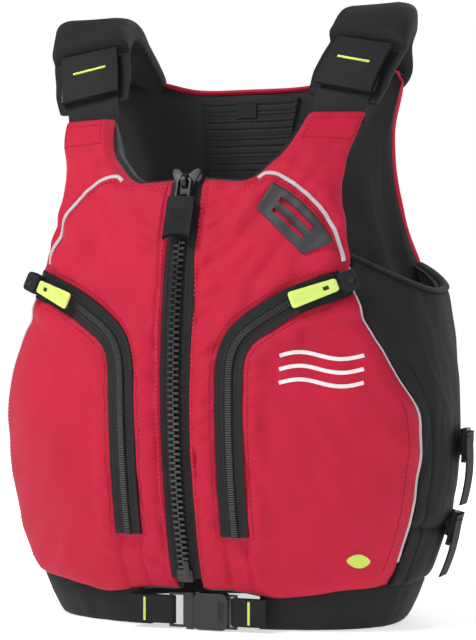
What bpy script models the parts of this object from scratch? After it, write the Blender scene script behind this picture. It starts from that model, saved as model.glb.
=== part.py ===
"""Paddling buoyancy aid with a front zip, in metres. +Z is up, the front faces -Y, +X is the wearer's left."""

import math

import bmesh
import bpy
import numpy as np
from mathutils import Vector

GAP = 0.0004  # between neighbouring pieces
HAIR = 0.0008  # between pieces whose meshes follow different lines
CLEARANCE = 0.0005  # between pieces that move past each other
BITE = 0.0010  # how far shapes that become one piece reach into each other
SIDES = ((1, "left"), (-1, "right"))
CENTRE_SHIFT_Y = -0.00738  # puts the middle of the whole depth at y = 0

# The torso shell: half width and back depth at each height, and the arc of the front centre line.
HALF_WIDTH = (
    (0.0, 0.168), (0.05, 0.190), (0.10, 0.205), (0.19, 0.213), (0.28, 0.205), (0.36, 0.190), (0.44, 0.178),
    (0.56, 0.176),
)
BACK_DEPTH = (
    (0.0, 0.150), (0.10, 0.160), (0.20, 0.160), (0.32, 0.155), (0.42, 0.145), (0.50, 0.128), (0.56, 0.105),
)
SQUARENESS = 2.35
ZIP_RADIUS = 0.500
ZIP_CENTRE_Y, ZIP_CENTRE_Z = 0.356, 0.215
LEAN_FROM, LEAN = 0.400, 0.050  # the chest leans back above this height

# Front halves: edges as x for a height, or a height for an x.
FRONT_INNER_X = 0.0128
FRONT_OUTER_X = (
    (0.020, 0.164), (0.050, 0.176), (0.090, 0.190), (0.130, 0.198), (0.170, 0.2005), (0.195, 0.198),
    (0.220, 0.187),
    (0.245, 0.174), (0.270, 0.160), (0.300, 0.150), (0.335, 0.144), (0.372, 0.138), (0.410, 0.1375),
    (0.455, 0.1455),
)
FRONT_HEM = (
    (0.0, 0.0360), (0.20, 0.0355), (0.26, 0.034), (0.45, 0.0295), (0.62, 0.0325), (0.80, 0.0365),
    (1.0, 0.0380),
)
FRONT_TOP = (
    (0.0, 0.3925), (0.20, 0.3905), (0.32, 0.3905), (0.42, 0.3970), (0.50, 0.4070), (0.58, 0.4165),
    (0.635, 0.4270),
    (0.69, 0.4515), (0.78, 0.4525), (1.0, 0.4525),
)
FRONT_THICKNESS = ((0.02, 0.026), (0.06, 0.034), (0.34, 0.036), (0.40, 0.028), (0.455, 0.014))
BACK_OUTER_X = (
    (0.020, 0.140), (0.050, 0.150), (0.100, 0.165), (0.200, 0.172), (0.280, 0.170), (0.315, 0.160),
    (0.350, 0.145),
    (0.400, 0.133), (0.450, 0.134), (0.505, 0.152),
)
BACK_HEM = ((0.0, 0.036), (0.5, 0.034), (1.0, 0.036))
BACK_TOP = (
    (0.0, 0.5015), (0.14, 0.5035), (0.20, 0.4990), (0.30, 0.4925), (0.5, 0.4905), (0.70, 0.4925),
    (0.80, 0.4990),
    (0.86, 0.5035), (1.0, 0.5015),
)
BACK_THICKNESS = ((0.02, 0.022), (0.06, 0.030), (0.40, 0.030), (0.505, 0.014))
FOAM_SPLIT = 0.52  # where the two foam panels of the back meet, as a share of its height
MESH_THICK = 0.0030
BINDING_OUT, BINDING_IN, BINDING_HIGH = 0.0010, 0.0145, 0.0045
SIDE_HEM_Z = 0.038
SIDE_TOP = ((0.0, 0.325), (0.2, 0.308), (0.5, 0.296), (0.8, 0.306), (1.0, 0.322))
SIDE_OUT, SIDE_IN = -0.002, -0.008
GUSSET_FROM_Z = 0.3285
COVER_WALL = 0.0022
LINING = 0.0016
FOAM_ROOM = 0.0020
EDGE_DROP, EDGE_REACH = 0.0065, 0.016  # how far the cover rounds over at its edges, and from how far in
BACK_CELLS, CELLS_UP = 16, 14
FRONT_COLUMNS = (0.0, 0.022, 0.06, 0.14, 0.24, 0.34, 0.42, 0.50, 0.58, 0.635, 0.69, 0.78, 0.88, 0.94, 0.978, 1.0)

# Main zip
ZIP_BOTTOM_Z, ZIP_TOP_Z = 0.0445, 0.3915
BRIDGE_SLOT = 0.0018  # half the slot that the slider's bridge runs in
BEAD_OUT_X, TAPE_OUT_X = 0.0058, 0.0124
BEAD_HIGH, BEAD_LOW, TAPE_HIGH, TAPE_LOW = 0.0005, -0.0060, -0.0022, -0.0038
BOX_HALF_WIDTH, BOX_FOOT_HALF_WIDTH = 0.0070, 0.0055
BOX_WALL = 0.0008  # how far the bottom box stands proud of the chain

# Main slider, the wire loop in its lug and the soft tab on the loop
SLIDER_Z, SLIDER_LENGTH, SLIDER_PLATE = 0.3890, 0.025, 0.0018
BRIDGE_LENGTH = 0.0065
LUG_HALF_WIDTH, LUG_HALF_LENGTH, LUG_HEIGHT, LUG_BAR = 0.0022, 0.0065, 0.0060, 0.0018
LOOP_HALF_WIDTH, LOOP_HALF_LENGTH, LOOP_WIRE = 0.0072, 0.0115, 0.0022
LOOP_TOP = 0.0022  # above the middle of the slider
LOOP_LIFT = 0.0008
TAB_HALF_WIDTH, TAB_HALF_LENGTH, TAB_THICK, TAB_CENTRE = 0.0128, 0.0200, 0.0043, -0.0355

# Front pockets: the zip path as (x, z), from the outer end to the lower end
POCKET_PATH = (
    (0.1480, 0.3035), (0.1390, 0.3005), (0.1270, 0.2960), (0.1150, 0.2915), (0.1030, 0.2865),
    (0.0900, 0.2790),
    (0.0780, 0.2710), (0.0680, 0.2640), (0.0595, 0.2560), (0.0535, 0.2460), (0.0505, 0.2350),
    (0.0495, 0.2230),
    (0.0492, 0.2050), (0.0490, 0.1800), (0.0490, 0.1550), (0.0490, 0.1300), (0.0490, 0.1050),
    (0.0490, 0.0840),
)
POCKET_TAPE_HALF, POCKET_TAPE_THICK = 0.0120, 0.0014
POCKET_COIL_HALF, POCKET_COIL_HIGH = 0.0026, 0.0014
PANEL_LIFT = 0.0022
PANEL_INNER_X, PANEL_WIDTH, PANEL_LOW_Z = 0.0625, 0.110, 0.058
PANEL_TOP = (
    (0.0625, 0.2330), (0.075, 0.2500), (0.095, 0.2660), (0.120, 0.2790), (0.145, 0.2760), (0.1725, 0.2250),
)
POCKET_SLIDER_HALF, POCKET_SLIDER_BACK, POCKET_SLIDER_FRONT = 0.0042, -0.0045, 0.0055
POCKET_SLIDER_THICK = 0.0016
PULLER_HALF_WIDTH, PULLER_HALF_LENGTH, PULLER_THICK, PULLER_START = 0.0065, 0.0220, 0.0022, 0.0050
PULLER_HINGE = 0.0052  # along the zip from the middle of the slider
GARAGE_HALF_WIDTH, GARAGE_BACK, GARAGE_FRONT, GARAGE_WALL = 0.0105, -0.0130, 0.0015, 0.0020
RIVET_RADIUS, RIVET_AT, RIVET_HEIGHT = 0.0030, -0.0035, 0.0018

# Reflective piping, as (x, z) from the neck end to the outer edge
PIPING_PATH = (
    (0.0640, 0.3925), (0.0690, 0.3965), (0.0770, 0.3965), (0.0880, 0.3915), (0.1010, 0.3825),
    (0.1130, 0.3720),
    (0.1240, 0.3590), (0.1320, 0.3440), (0.1372, 0.3310), (0.1400, 0.3200),
)
PIPING_HALF, PIPING_HIGH = 0.0018, 0.0014

# Lash patch: its lower edge starts at (x, z) and runs down and out; its upper edge is z for a share of the run
PATCH_LOWER_X, PATCH_LOWER_Z, PATCH_LOWER_RUN, PATCH_LOWER_FALL = 0.0655, 0.3660, 0.0420, 0.0400
PATCH_UPPER_X, PATCH_UPPER_RUN = 0.0770, 0.0520
PATCH_UPPER_Z = ((0.0, 0.3885), (0.35, 0.3770), (0.62, 0.3640), (0.83, 0.3510), (1.0, 0.3360))
PATCH_THICK = 0.0024
PATCH_SLOTS, PATCH_SLOT_HALF = (0.32, 0.66), 0.075  # as shares of the patch's width
PATCH_SLOT_ENDS = (0.22, 0.80)

# Shoulder straps: centre line from the front tab over the shoulder to the back
STRAP_PATH = (
    (0.1232, -0.0464, 0.4562), (0.1240, -0.0432, 0.4640), (0.1265, -0.0355, 0.4780),
    (0.1300, -0.0250, 0.4960),
    (0.1340, -0.0120, 0.5140), (0.1375, 0.0030, 0.5290), (0.1395, 0.0200, 0.5385), (0.1395, 0.0380, 0.5410),
    (0.1385, 0.0560, 0.5370), (0.1360, 0.0730, 0.5270), (0.1330, 0.0860, 0.5150), (0.1310, 0.0950, 0.5045),
)
STRAP_HALF, STRAP_THICK = 0.0240, 0.0018
ADJUSTER_HALF_LENGTH, ADJUSTER_THICK, ADJUSTER_MARGIN = 0.0080, 0.0034, 0.0010
ADJUSTER_STATION, FLAP_STATIONS, SLEEVE_STATIONS = 2, (1, 4), (4, 11)
FLAP_THICK = 0.0030
SLEEVE_MARGIN, SLEEVE_OUT, SLEEVE_IN, SLEEVE_CORNER = 0.0100, 0.0100, -0.0080, 0.0045

# Waist belt and its side-release buckle, measured from the buckle's middle line
BELT_OUT, BELT_IN = -0.0090, -0.0140
BELT_SEAM = 0.0022  # from the top of the belt to the hem above it
BELT_LEFT_END_X, BELT_RIGHT_END_X = 0.062, -0.050
BELT_LAP = 0.0080  # how far each webbing loop laps over the end of the belt
BUCKLE_X, BUCKLE_Z = 0.0100, 0.0165
BUCKLE_HALF_HEIGHT, BUCKLE_HALF_DEPTH = 0.0160, 0.0055
RECEIVER_HALF_LENGTH, RECEIVER_CENTRE, RECEIVER_CORNER = 0.0155, 0.0095, 0.0050
THROAT_HALF_HEIGHT, THROAT_HALF_DEPTH, THROAT_END = 0.0125, 0.0038, 0.0215
WINDOW_START, WINDOW_END = 0.0035, 0.0150
FRAME_HALF_HEIGHT, FRAME_HALF_DEPTH = 0.0150, 0.0016
RECEIVER_FRAME_END, RECEIVER_SLOT = 0.0325, (0.0255, 0.0298)
PLUG_BACK, PLUG_FRONT, PLUG_HALF_DEPTH = -0.0130, -0.0065, 0.0048
PLUG_FRAME_END, PLUG_SLOT = -0.0300, (-0.0270, -0.0170)
GUIDE_END, GUIDE_HALF_HEIGHT, GUIDE_HALF_DEPTH = 0.0170, 0.0030, 0.0026
PRONG_ROOT, PRONG_HINGE_HEIGHT = -0.0061, 0.0076
PRONG_OUTLINE = (
    (PRONG_ROOT, 0.0060), (0.0150, 0.0068), (0.0150, 0.0090), (0.0125, 0.0116), (0.0050, 0.0119),
    (0.0040, 0.0100),
    (PRONG_ROOT, 0.0092),
)
RECEIVER_BAR, PLUG_BAR = 0.0312, -0.0285
WEBBING_HALF, WEBBING_THICK, WEBBING_TURN = 0.0120, 0.0014, 0.0026

# Side adjusters: a ladder-lock on each strap, at (name, height, length of the hanging tail)
SIDE_STRAPS = (("upper", 0.158, 0.052), ("lower", 0.084, 0.042))
LOCK_DEGREES, TAIL_DEGREES = 98.0, 92.5
LOCK_FRONT, LOCK_BACK, LOCK_HALF_HEIGHT, LOCK_LOW, LOCK_HIGH = 0.0085, -0.0070, 0.0155, 0.0012, 0.0052
LOCK_SLOTS, LOCK_SLOT_HALF_HEIGHT = ((-0.0050, -0.0015), (0.0020, 0.0055)), 0.0130
STRAP_RISES = (
    (118, 0.0008), (110, 0.0008), (106, 0.0034), (103, 0.0074), (98, 0.0072), (94, 0.0070), (90.5, 0.0070),
)
SIDE_STRAP_THICK = 0.0016
TAIL_RISE, TAIL_THICK = 0.0074, 0.0018

COLOURS = {
    "red_fabric": (0.55, 0.028, 0.060), "black_fabric": (0.022, 0.022, 0.025), "lining_satin": (0.018, 0.018, 0.020),
    "mesh_fabric": (0.030, 0.030, 0.033), "foam": (0.42, 0.44, 0.46), "webbing": (0.020, 0.020, 0.022),
    "black_plastic": (0.012, 0.012, 0.013), "zip_tape": (0.030, 0.034, 0.035), "zip_metal": (0.55, 0.56, 0.57),
    "lime_rubber": (0.66, 0.86, 0.16), "piping": (0.62, 0.60, 0.62), "lash_rubber": (0.065, 0.068, 0.075),
    "label": (0.020, 0.020, 0.022),
}


def clear_scene():
    for obj in list(bpy.data.objects):
        bpy.data.objects.remove(obj)


def along(rows, at):
    """Smooth value of a table of (position, value) rows."""
    places = np.array([row[0] for row in rows])
    values = np.array([row[1] for row in rows])
    at = min(max(at, places[0]), places[-1])
    slopes = np.gradient(values, places)
    i = min(int(np.searchsorted(places, at, side="right")) - 1, len(places) - 2)
    step = places[i + 1] - places[i]
    t = (at - places[i]) / step
    rise = t * t * (3 - 2 * t)
    ends = step * (t * (1 - t) ** 2 * slopes[i] - t * t * (1 - t) * slopes[i + 1])
    return float((1 - rise) * values[i] + rise * values[i + 1] + ends)


def front_depth(z):
    """y of the front centre line."""
    lean = LEAN * (max(0.0, z - LEAN_FROM) / 0.1) ** 2
    return ZIP_CENTRE_Y - math.sqrt(ZIP_RADIUS**2 - (z - ZIP_CENTRE_Z) ** 2) + lean


def skin(angle, z, out):
    """Point of the torso shell. The angle is 0 at the front and grows towards the wearer's left."""
    width = along(HALF_WIDTH, z) + out
    depth = (-front_depth(z) if math.cos(angle) > 0 else along(BACK_DEPTH, z)) + out
    s, c = math.sin(angle), math.cos(angle)
    power = 2 / SQUARENESS
    x = width * math.copysign(abs(s) ** power, s)
    y = -depth * math.copysign(abs(c) ** power, c)
    return Vector((x, y, z))


def angle_at(x, z):
    """Angle on the front half of the shell at which its surface has this x."""
    share = min(abs(x) / along(HALF_WIDTH, z), 0.9999)
    return math.copysign(math.asin(share ** (SQUARENESS / 2)), x)


def on_front(x, z, out):
    return skin(angle_at(x, z), z, out)


def material(name):
    if name in bpy.data.materials:
        return bpy.data.materials[name]
    made = bpy.data.materials.new(name)
    made.use_nodes = True
    shader = made.node_tree.nodes["Principled BSDF"]
    shader.inputs["Base Color"].default_value = (*COLOURS[name], 1)
    shader.inputs["Roughness"].default_value = 0.3 if name == "zip_metal" else 0.75
    shader.inputs["Metallic"].default_value = 1.0 if name == "zip_metal" else 0.0
    return made


def node(name, points, faces, look):
    mesh = bpy.data.meshes.new(name)
    mesh.from_pydata([tuple(p) for p in points], [], faces)
    work = bmesh.new()
    work.from_mesh(mesh)
    bmesh.ops.recalc_face_normals(work, faces=work.faces)
    work.to_mesh(mesh)
    work.free()
    mesh.materials.append(material(look))
    obj = bpy.data.objects.new(name, mesh)
    bpy.context.collection.objects.link(obj)
    return obj


def cutter(obj):
    obj.hide_render = True
    obj.display_type = "WIRE"
    return obj


def combine(obj, other, operation):
    """Applies one exact Boolean and drops the other shape."""
    change = obj.modifiers.new(operation.lower(), "BOOLEAN")
    change.operation = operation
    change.solver = "EXACT"
    change.object = other
    bpy.context.view_layer.update()
    graph = bpy.context.evaluated_depsgraph_get()
    result = bpy.data.meshes.new_from_object(obj.evaluated_get(graph))
    obj.modifiers.clear()
    obj.data = result
    bpy.data.objects.remove(other)
    return obj


def hang(obj, place):
    """Puts a moving piece's origin on its joint, with its shape left where it is."""
    for vertex in obj.data.vertices:
        vertex.co -= place
    obj.location = place


def grid_faces(rows, columns, start, flip):
    faces = []
    for r in range(rows - 1):
        for c in range(columns - 1):
            a = start + r * columns + c
            quad = (a, a + 1, a + columns + 1, a + columns)
            faces.append(quad[::-1] if flip else quad)
    return faces


def rim_of(rows, columns, start):
    """Indices round the edge of a grid."""
    bottom = [start + c for c in range(columns)]
    right = [start + r * columns + columns - 1 for r in range(1, rows)]
    top = [start + (rows - 1) * columns + c for c in range(columns - 2, -1, -1)]
    left = [start + r * columns for r in range(rows - 2, 0, -1)]
    return bottom + right + top + left


def bridge(first, second):
    count = len(first)
    return [(first[i], first[(i + 1) % count], second[(i + 1) % count], second[i]) for i in range(count)]


def slab(name, point, us, vs, out, inner, look):
    """Closed sheet: point(u, v, depth) between two depths, each a number or a function of u and v."""
    def level(depth, u, v):
        return depth(u, v) if callable(depth) else depth

    points = [point(u, v, level(out, u, v)) for v in vs for u in us]
    points += [point(u, v, level(inner, u, v)) for v in vs for u in us]
    rows, columns = len(vs), len(us)
    count = rows * columns
    faces = grid_faces(rows, columns, 0, False) + grid_faces(rows, columns, count, True)
    faces += bridge(rim_of(rows, columns, 0), rim_of(rows, columns, count))
    return node(name, points, faces, look)


def tray(name, point, us, vs, inset, depth, drop, look):
    """Closed shell with side walls, open on the body side: a cover that takes a foam panel."""
    inner_us = [min(max(u, inset), 1 - inset) for u in us]
    inner_vs = [min(max(v, inset), 1 - inset) for v in vs]
    rows, columns = len(vs), len(us)
    count = rows * columns
    face = [point(u, v, -drop(u, v)) for v in vs for u in us]
    lip = [point(u, v, -depth(u, v)) for v in vs for u in us]
    mouth = [point(u, v, -depth(u, v)) for v in inner_vs for u in inner_us]
    bed = [point(u, v, -drop(u, v) - COVER_WALL) for v in inner_vs for u in inner_us]
    rims = [rim_of(rows, columns, k * count) for k in range(4)]
    faces = grid_faces(rows, columns, 0, False) + grid_faces(rows, columns, 3 * count, True)
    for first, second in zip(rims, rims[1:]):
        faces += bridge(first, second)
    obj = node(name, face + lip + mouth + bed, faces, look)
    work = bmesh.new()
    work.from_mesh(obj.data)
    bmesh.ops.delete(work, geom=[v for v in work.verts if not v.link_faces], context="VERTS")
    bmesh.ops.recalc_face_normals(work, faces=work.faces)
    work.to_mesh(obj.data)
    work.free()
    return obj


def loft(name, rings, look):
    """Closed solid through rings of points, with end caps."""
    size = len(rings[0])
    points = [p for ring in rings for p in ring]
    faces = []
    for k in range(len(rings) - 1):
        a, b = k * size, (k + 1) * size
        faces += bridge(list(range(a, a + size)), list(range(b, b + size)))
    faces.append(tuple(range(size - 1, -1, -1)))
    faces.append(tuple(range((len(rings) - 1) * size, len(rings) * size)))
    return node(name, points, faces, look)


def plate(name, outline, origin, axes, low, high, look):
    """Flat plate: outline in the first two axes, from low to high along the third."""
    first, second, third = axes
    rings = [[origin + first * a + second * b + third * h for a, b in outline] for h in (low, high)]
    return loft(name, rings, look)


def block(name, origin, axes, low, high, look):
    (x0, y0, z0), (x1, y1, z1) = low, high
    return plate(name, ((x0, y0), (x1, y0), (x1, y1), (x0, y1)), origin, axes, z0, z1, look)


def rounded(half_x, half_y, corner, steps=3):
    outline = []
    for quarter in range(4):
        cx = (half_x - corner) * (1 if quarter in (0, 3) else -1)
        cy = (half_y - corner) * (1 if quarter in (0, 1) else -1)
        for k in range(steps + 1):
            turn = math.pi / 2 * (quarter + k / steps)
            outline.append((cx + corner * math.cos(turn), cy + corner * math.sin(turn)))
    return outline


def evenly(start, end, count):
    return [start + (end - start) * k / (count - 1) for k in range(count)]


def eased(count):
    """Rows from 0 to 1 with closer ones at both ends, where the cover rounds over."""
    return [0.0, 0.022, 0.06] + evenly(0.12, 0.88, count - 6) + [0.94, 0.978, 1.0]


def path_normals(path):
    """Unit direction across a path of (x, z) points, at each point."""
    made = []
    for i in range(len(path)):
        before, after = path[max(i - 1, 0)], path[min(i + 1, len(path) - 1)]
        dx, dz = after[0] - before[0], after[1] - before[1]
        size = math.hypot(dx, dz)
        made.append((-dz / size, dx / size))
    return made


def surface_sweep(name, path, profile, side, look):
    """Sweeps a closed profile of (across, out) along a path of (x, z) on the front shell."""
    rings = []
    for (x, z), (nx, nz) in zip(path, path_normals(path)):
        rings.append([on_front(side * (x + a * nx), z + a * nz, out) for a, out in profile])
    return loft(name, rings, look)


def edge_drop(u, v, width, height):
    near_u = min(u, 1 - u) * width
    near_v = min(v, 1 - v) * height
    fall = 0.0
    for near in (near_u, near_v):
        fall = max(fall, max(0.0, 1 - near / EDGE_REACH))
    return EDGE_DROP * fall * fall


def front_place(u, v):
    low, high = along(FRONT_HEM, u), along(FRONT_TOP, u)
    z = low + v * (high - low)
    return FRONT_INNER_X + u * (along(FRONT_OUTER_X, z) - FRONT_INNER_X), z


def front_half(side, word):
    """Outer cover, foam panel and lining of one front half."""
    def point(u, v, out):
        x, z = front_place(u, v)
        return on_front(side * x, z, out)

    def drop(u, v):
        return edge_drop(u, v, 0.16, 0.37)

    def depth(u, v):
        return along(FRONT_THICKNESS, front_place(u, v)[1])

    us, vs = FRONT_COLUMNS, eased(CELLS_UP + 1)
    tray(f"front_cover_{word}", point, us, vs, 0.014, depth, drop, "red_fabric")
    inner_us = [0.034 + u * 0.932 for u in us]
    inner_vs = [0.024 + v * 0.952 for v in vs]
    slab(
        f"front_foam_{word}", point, inner_us, inner_vs,
        lambda u, v: -drop(u, v) - COVER_WALL - FOAM_ROOM, lambda u, v: -depth(u, v) + 0.0005, "foam",
    )
    slab(
        f"front_lining_{word}", point, us, vs,
        lambda u, v: -depth(u, v) - GAP, lambda u, v: -depth(u, v) - GAP - LINING, "lining_satin",
    )


def back_place(u, v):
    low, high = along(BACK_HEM, u), along(BACK_TOP, u)
    z = low + v * (high - low)
    edge = angle_at(along(BACK_OUTER_X, z), z)
    return math.pi + (2 * u - 1) * edge, z


def back_panel():
    def point(u, v, out):
        angle, z = back_place(u, v)
        return skin(angle, z, out)

    def drop(u, v):
        return edge_drop(u, v, 0.36, 0.46)

    def depth(u, v):
        return along(BACK_THICKNESS, back_place(u, v)[1])

    us, vs = eased(BACK_CELLS), eased(CELLS_UP + 1)
    tray("back_cover", point, us, vs, 0.008, depth, drop, "red_fabric")
    for name, low, high in (("lower", 0.018, FOAM_SPLIT - 0.012), ("upper", FOAM_SPLIT + 0.012, 0.982)):
        rows = [low + v * (high - low) for v in evenly(0, 1, 7)]
        slab(
            f"back_foam_{name}", point, [0.016 + u * 0.968 for u in us], rows,
            lambda u, v: -drop(u, v) - COVER_WALL - FOAM_ROOM, lambda u, v: -depth(u, v) + 0.0005, "foam",
        )
    slab(
        "back_lining", point, us, vs,
        lambda u, v: -depth(u, v) - GAP, lambda u, v: -depth(u, v) - GAP - LINING, "lining_satin",
    )
    mesh_out = GAP + LINING + HAIR
    mesh_in = mesh_out + MESH_THICK
    slab(
        "back_mesh_panel", point, evenly(0.34, 0.66, 7), evenly(0.45, 0.985, 9),
        lambda u, v: -depth(u, v) - mesh_out, lambda u, v: -depth(u, v) - mesh_in, "mesh_fabric",
    )
    slab(
        "size_label", point, evenly(0.478, 0.522, 3), evenly(0.955, 0.978, 2),
        lambda u, v: -depth(u, v) - mesh_in - HAIR, lambda u, v: -depth(u, v) - mesh_in - HAIR - 0.001, "label",
    )
    binding = []
    for u in evenly(0.19, 0.81, 17):
        angle, z = back_place(u, 1.0)
        base = z + HAIR
        roof = base + BINDING_HIGH
        corners = ((BINDING_OUT, base), (BINDING_OUT, roof), (BINDING_IN, roof), (BINDING_IN, base))
        binding.append([skin(angle, h, -o) for o, h in corners])
    loft("neck_binding", binding, "red_fabric")


def side_place(side, u, v):
    """Between the outer edge of a front half and the edge of the back panel."""
    low, high = SIDE_HEM_Z, along(SIDE_TOP, u)
    z = low + v * (high - low)
    start = angle_at(along(FRONT_OUTER_X, z), z) + 0.020
    end = math.pi - angle_at(along(BACK_OUTER_X, z), z) - 0.006
    return side * (start + u * (end - start)), z


def side_panel(side, word):
    def point(u, v, out):
        angle, z = side_place(side, u, v)
        return skin(angle, z, out)

    slab(f"side_panel_{word}", point, evenly(0.0, 1.0, 9), evenly(0.0, 1.0, 15), SIDE_OUT, SIDE_IN, "black_fabric")


def armhole_gusset(side, word):
    """Black wall that closes the foam's edge along the front of the armhole."""
    rings = []
    heights = [front_place(1.0, v)[1] for v in eased(CELLS_UP + 1)]
    for z in [GUSSET_FROM_Z] + [z for z in heights if z > GUSSET_FROM_Z + 0.01]:
        edge = along(FRONT_OUTER_X, z)
        depth = along(FRONT_THICKNESS, z)
        angle = angle_at(edge, z)
        ring = []
        for turn, out in ((0.004, -0.004), (0.020, -0.004), (0.020, -depth), (0.004, -depth)):
            ring.append(skin(side * (angle + turn), z, out))
        rings.append(ring)
    loft(f"armhole_gusset_{word}", rings, "black_fabric")


def arc_point(x, turn, out):
    """Point on the arc of the main zip. The turn is measured up from the level of the arc's centre."""
    reach = ZIP_RADIUS + out
    return Vector((x, ZIP_CENTRE_Y - reach * math.cos(turn), ZIP_CENTRE_Z + reach * math.sin(turn)))


def arc_turn(z):
    return math.asin((z - ZIP_CENTRE_Z) / ZIP_RADIUS)


def main_zip():
    """Both chains with their tapes. The left one carries the moulded box at the bottom."""
    halves = {}
    stations = evenly(arc_turn(ZIP_BOTTOM_Z), arc_turn(ZIP_TOP_Z), 27)
    profile = (
        (BRIDGE_SLOT, BEAD_LOW), (BRIDGE_SLOT, BEAD_HIGH), (BEAD_OUT_X, BEAD_HIGH), (BEAD_OUT_X, TAPE_HIGH),
        (TAPE_OUT_X, TAPE_HIGH), (TAPE_OUT_X, TAPE_LOW), (BEAD_OUT_X, TAPE_LOW), (BEAD_OUT_X, BEAD_LOW),
    )
    for side, word in SIDES:
        rings = [[arc_point(side * x, turn, out) for x, out in profile] for turn in stations]
        halves[word] = loft(f"main_zip_{word}", rings if word == "left" else rings[1:], "zip_tape")
    foot = arc_turn(ZIP_BOTTOM_Z)
    high, low = BEAD_HIGH + BOX_WALL, BEAD_LOW - BOX_WALL
    rings = []
    for turn, half in ((0.002, BOX_HALF_WIDTH), (-0.009, BOX_HALF_WIDTH), (-0.014, BOX_FOOT_HALF_WIDTH)):
        corners = ((-half, low), (half, low), (half, high), (-half, high))
        rings.append([arc_point(x, foot + turn, out) for x, out in corners])
    combine(halves["left"], loft("box", rings, "black_plastic"), "UNION")


def main_slider():
    turn = arc_turn(SLIDER_Z)
    origin = arc_point(0, turn, 0)
    up = Vector((0, math.sin(turn), math.cos(turn)))
    axes = (Vector((1, 0, 0)), up, Vector((0, -up.z, up.y)))
    half = SLIDER_LENGTH / 2
    outline = (
        (-0.0075, -half), (0.0075, -half), (0.0085, -0.002), (0.0125, 0.006), (0.0120, half), (0.0040, half - 0.002),
        (0.0, half - 0.005), (-0.0040, half - 0.002), (-0.0120, half), (-0.0125, 0.006), (-0.0085, -0.002),
    )
    over, under = BEAD_HIGH + HAIR, BEAD_LOW - HAIR
    seat = over + SLIDER_PLATE
    body = plate("main_slider", outline, origin, axes, over, seat, "zip_metal")
    back = [(x * 0.82, y) for x, y in outline]
    combine(body, plate("back", back, origin, axes, under - SLIDER_PLATE, under, "zip_metal"), "UNION")
    wall = BRIDGE_SLOT - CLEARANCE
    low, high = (-wall, 0.0, under - BITE), (wall, BRIDGE_LENGTH, over + BITE)
    combine(body, block("bridge", origin, axes, low, high, "zip_metal"), "UNION")
    wide, long = LUG_HALF_WIDTH, LUG_HALF_LENGTH
    low, high = (-wide, -long, seat - BITE / 2), (wide, long, seat + LUG_HEIGHT)
    lug = block("lug", origin, axes, low, high, "zip_metal")
    reach = long - LUG_BAR - 0.0007
    low, high = (-0.01, -reach, seat + 0.0002), (0.01, reach, seat + LUG_HEIGHT - LUG_BAR)
    combine(lug, cutter(block("eye", origin, axes, low, high, "zip_metal")), "DIFFERENCE")
    combine(body, lug, "UNION")
    hang(body, Vector((0, ZIP_CENTRE_Y, ZIP_CENTRE_Z)))
    main_pull(origin, axes, seat)


def main_pull(origin, axes, seat):
    """Wire loop through the slider's lug, and the soft tab on it."""
    low, high = seat + LOOP_LIFT, seat + LOOP_LIFT + LOOP_WIRE
    centre = LOOP_TOP - LOOP_HALF_LENGTH
    outer = [(x, y + centre) for x, y in rounded(LOOP_HALF_WIDTH, LOOP_HALF_LENGTH, 0.002)]
    inner_half = LOOP_HALF_LENGTH - LOOP_WIRE
    hole = [(x, y + centre) for x, y in rounded(LOOP_HALF_WIDTH - LOOP_WIRE, inner_half, 0.001)]
    loop = plate("main_pull", outer, origin, axes, low, high, "zip_metal")
    combine(loop, cutter(plate("hole", hole, origin, axes, low - BITE, high + BITE, "zip_metal")), "DIFFERENCE")
    pivot = origin + axes[1] * (LOOP_TOP - LOOP_WIRE / 2) + axes[2] * (low + high) * 0.5
    hang(loop, pivot)
    outline = [(x, y + TAB_CENTRE) for x, y in rounded(TAB_HALF_WIDTH, TAB_HALF_LENGTH, 0.003)]
    top = seat + 0.0001 + TAB_THICK
    tab = plate("main_pull_tab", outline, origin, axes, seat + 0.0001, top, "lash_rubber")
    wide = LOOP_HALF_WIDTH + 0.0006
    foot = centre - LOOP_HALF_LENGTH
    mouth = TAB_CENTRE + TAB_HALF_LENGTH + CLEARANCE
    for name, start, base, roof in (
        ("window", foot + LOOP_WIRE + 0.0002, seat - BITE, top + BITE),
        ("channel", foot - HAIR, low - CLEARANCE, high + CLEARANCE),
    ):
        room = block(name, origin, axes, (-wide, start, base), (wide, mouth, roof), "lash_rubber")
        combine(tab, cutter(room), "DIFFERENCE")
    hang(tab, pivot)


def pocket_frame(side):
    """Origin of a pocket slider at rest, and the axes across, along the zip (outer end first) and outwards."""
    start, end = POCKET_PATH[1], POCKET_PATH[4]
    first = on_front(side * start[0], start[1], PANEL_LIFT)
    second = on_front(side * end[0], end[1], PANEL_LIFT)
    forward = (second - first).normalized()
    above = on_front(side * start[0], start[1] + 0.01, PANEL_LIFT) - first
    across = (above - forward * above.dot(forward)).normalized()
    out = across.cross(forward) * side
    if out.y > 0:
        out = -out
    return first, (across, forward, out)


def pocket_panel(side, word):
    def point(u, v, out):
        x = PANEL_INNER_X + u * PANEL_WIDTH
        low = PANEL_LOW_Z + 0.010 * u * u
        z = low + v * (along(PANEL_TOP, x) - low)
        return on_front(side * min(x, along(FRONT_OUTER_X, z) - 0.009 - 0.010 * (1 - u)), z, out)

    cells = evenly(0, 1, 9)
    slab(f"pocket_panel_{word}", point, cells, cells, PANEL_LIFT + HAIR, HAIR, "red_fabric")


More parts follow.
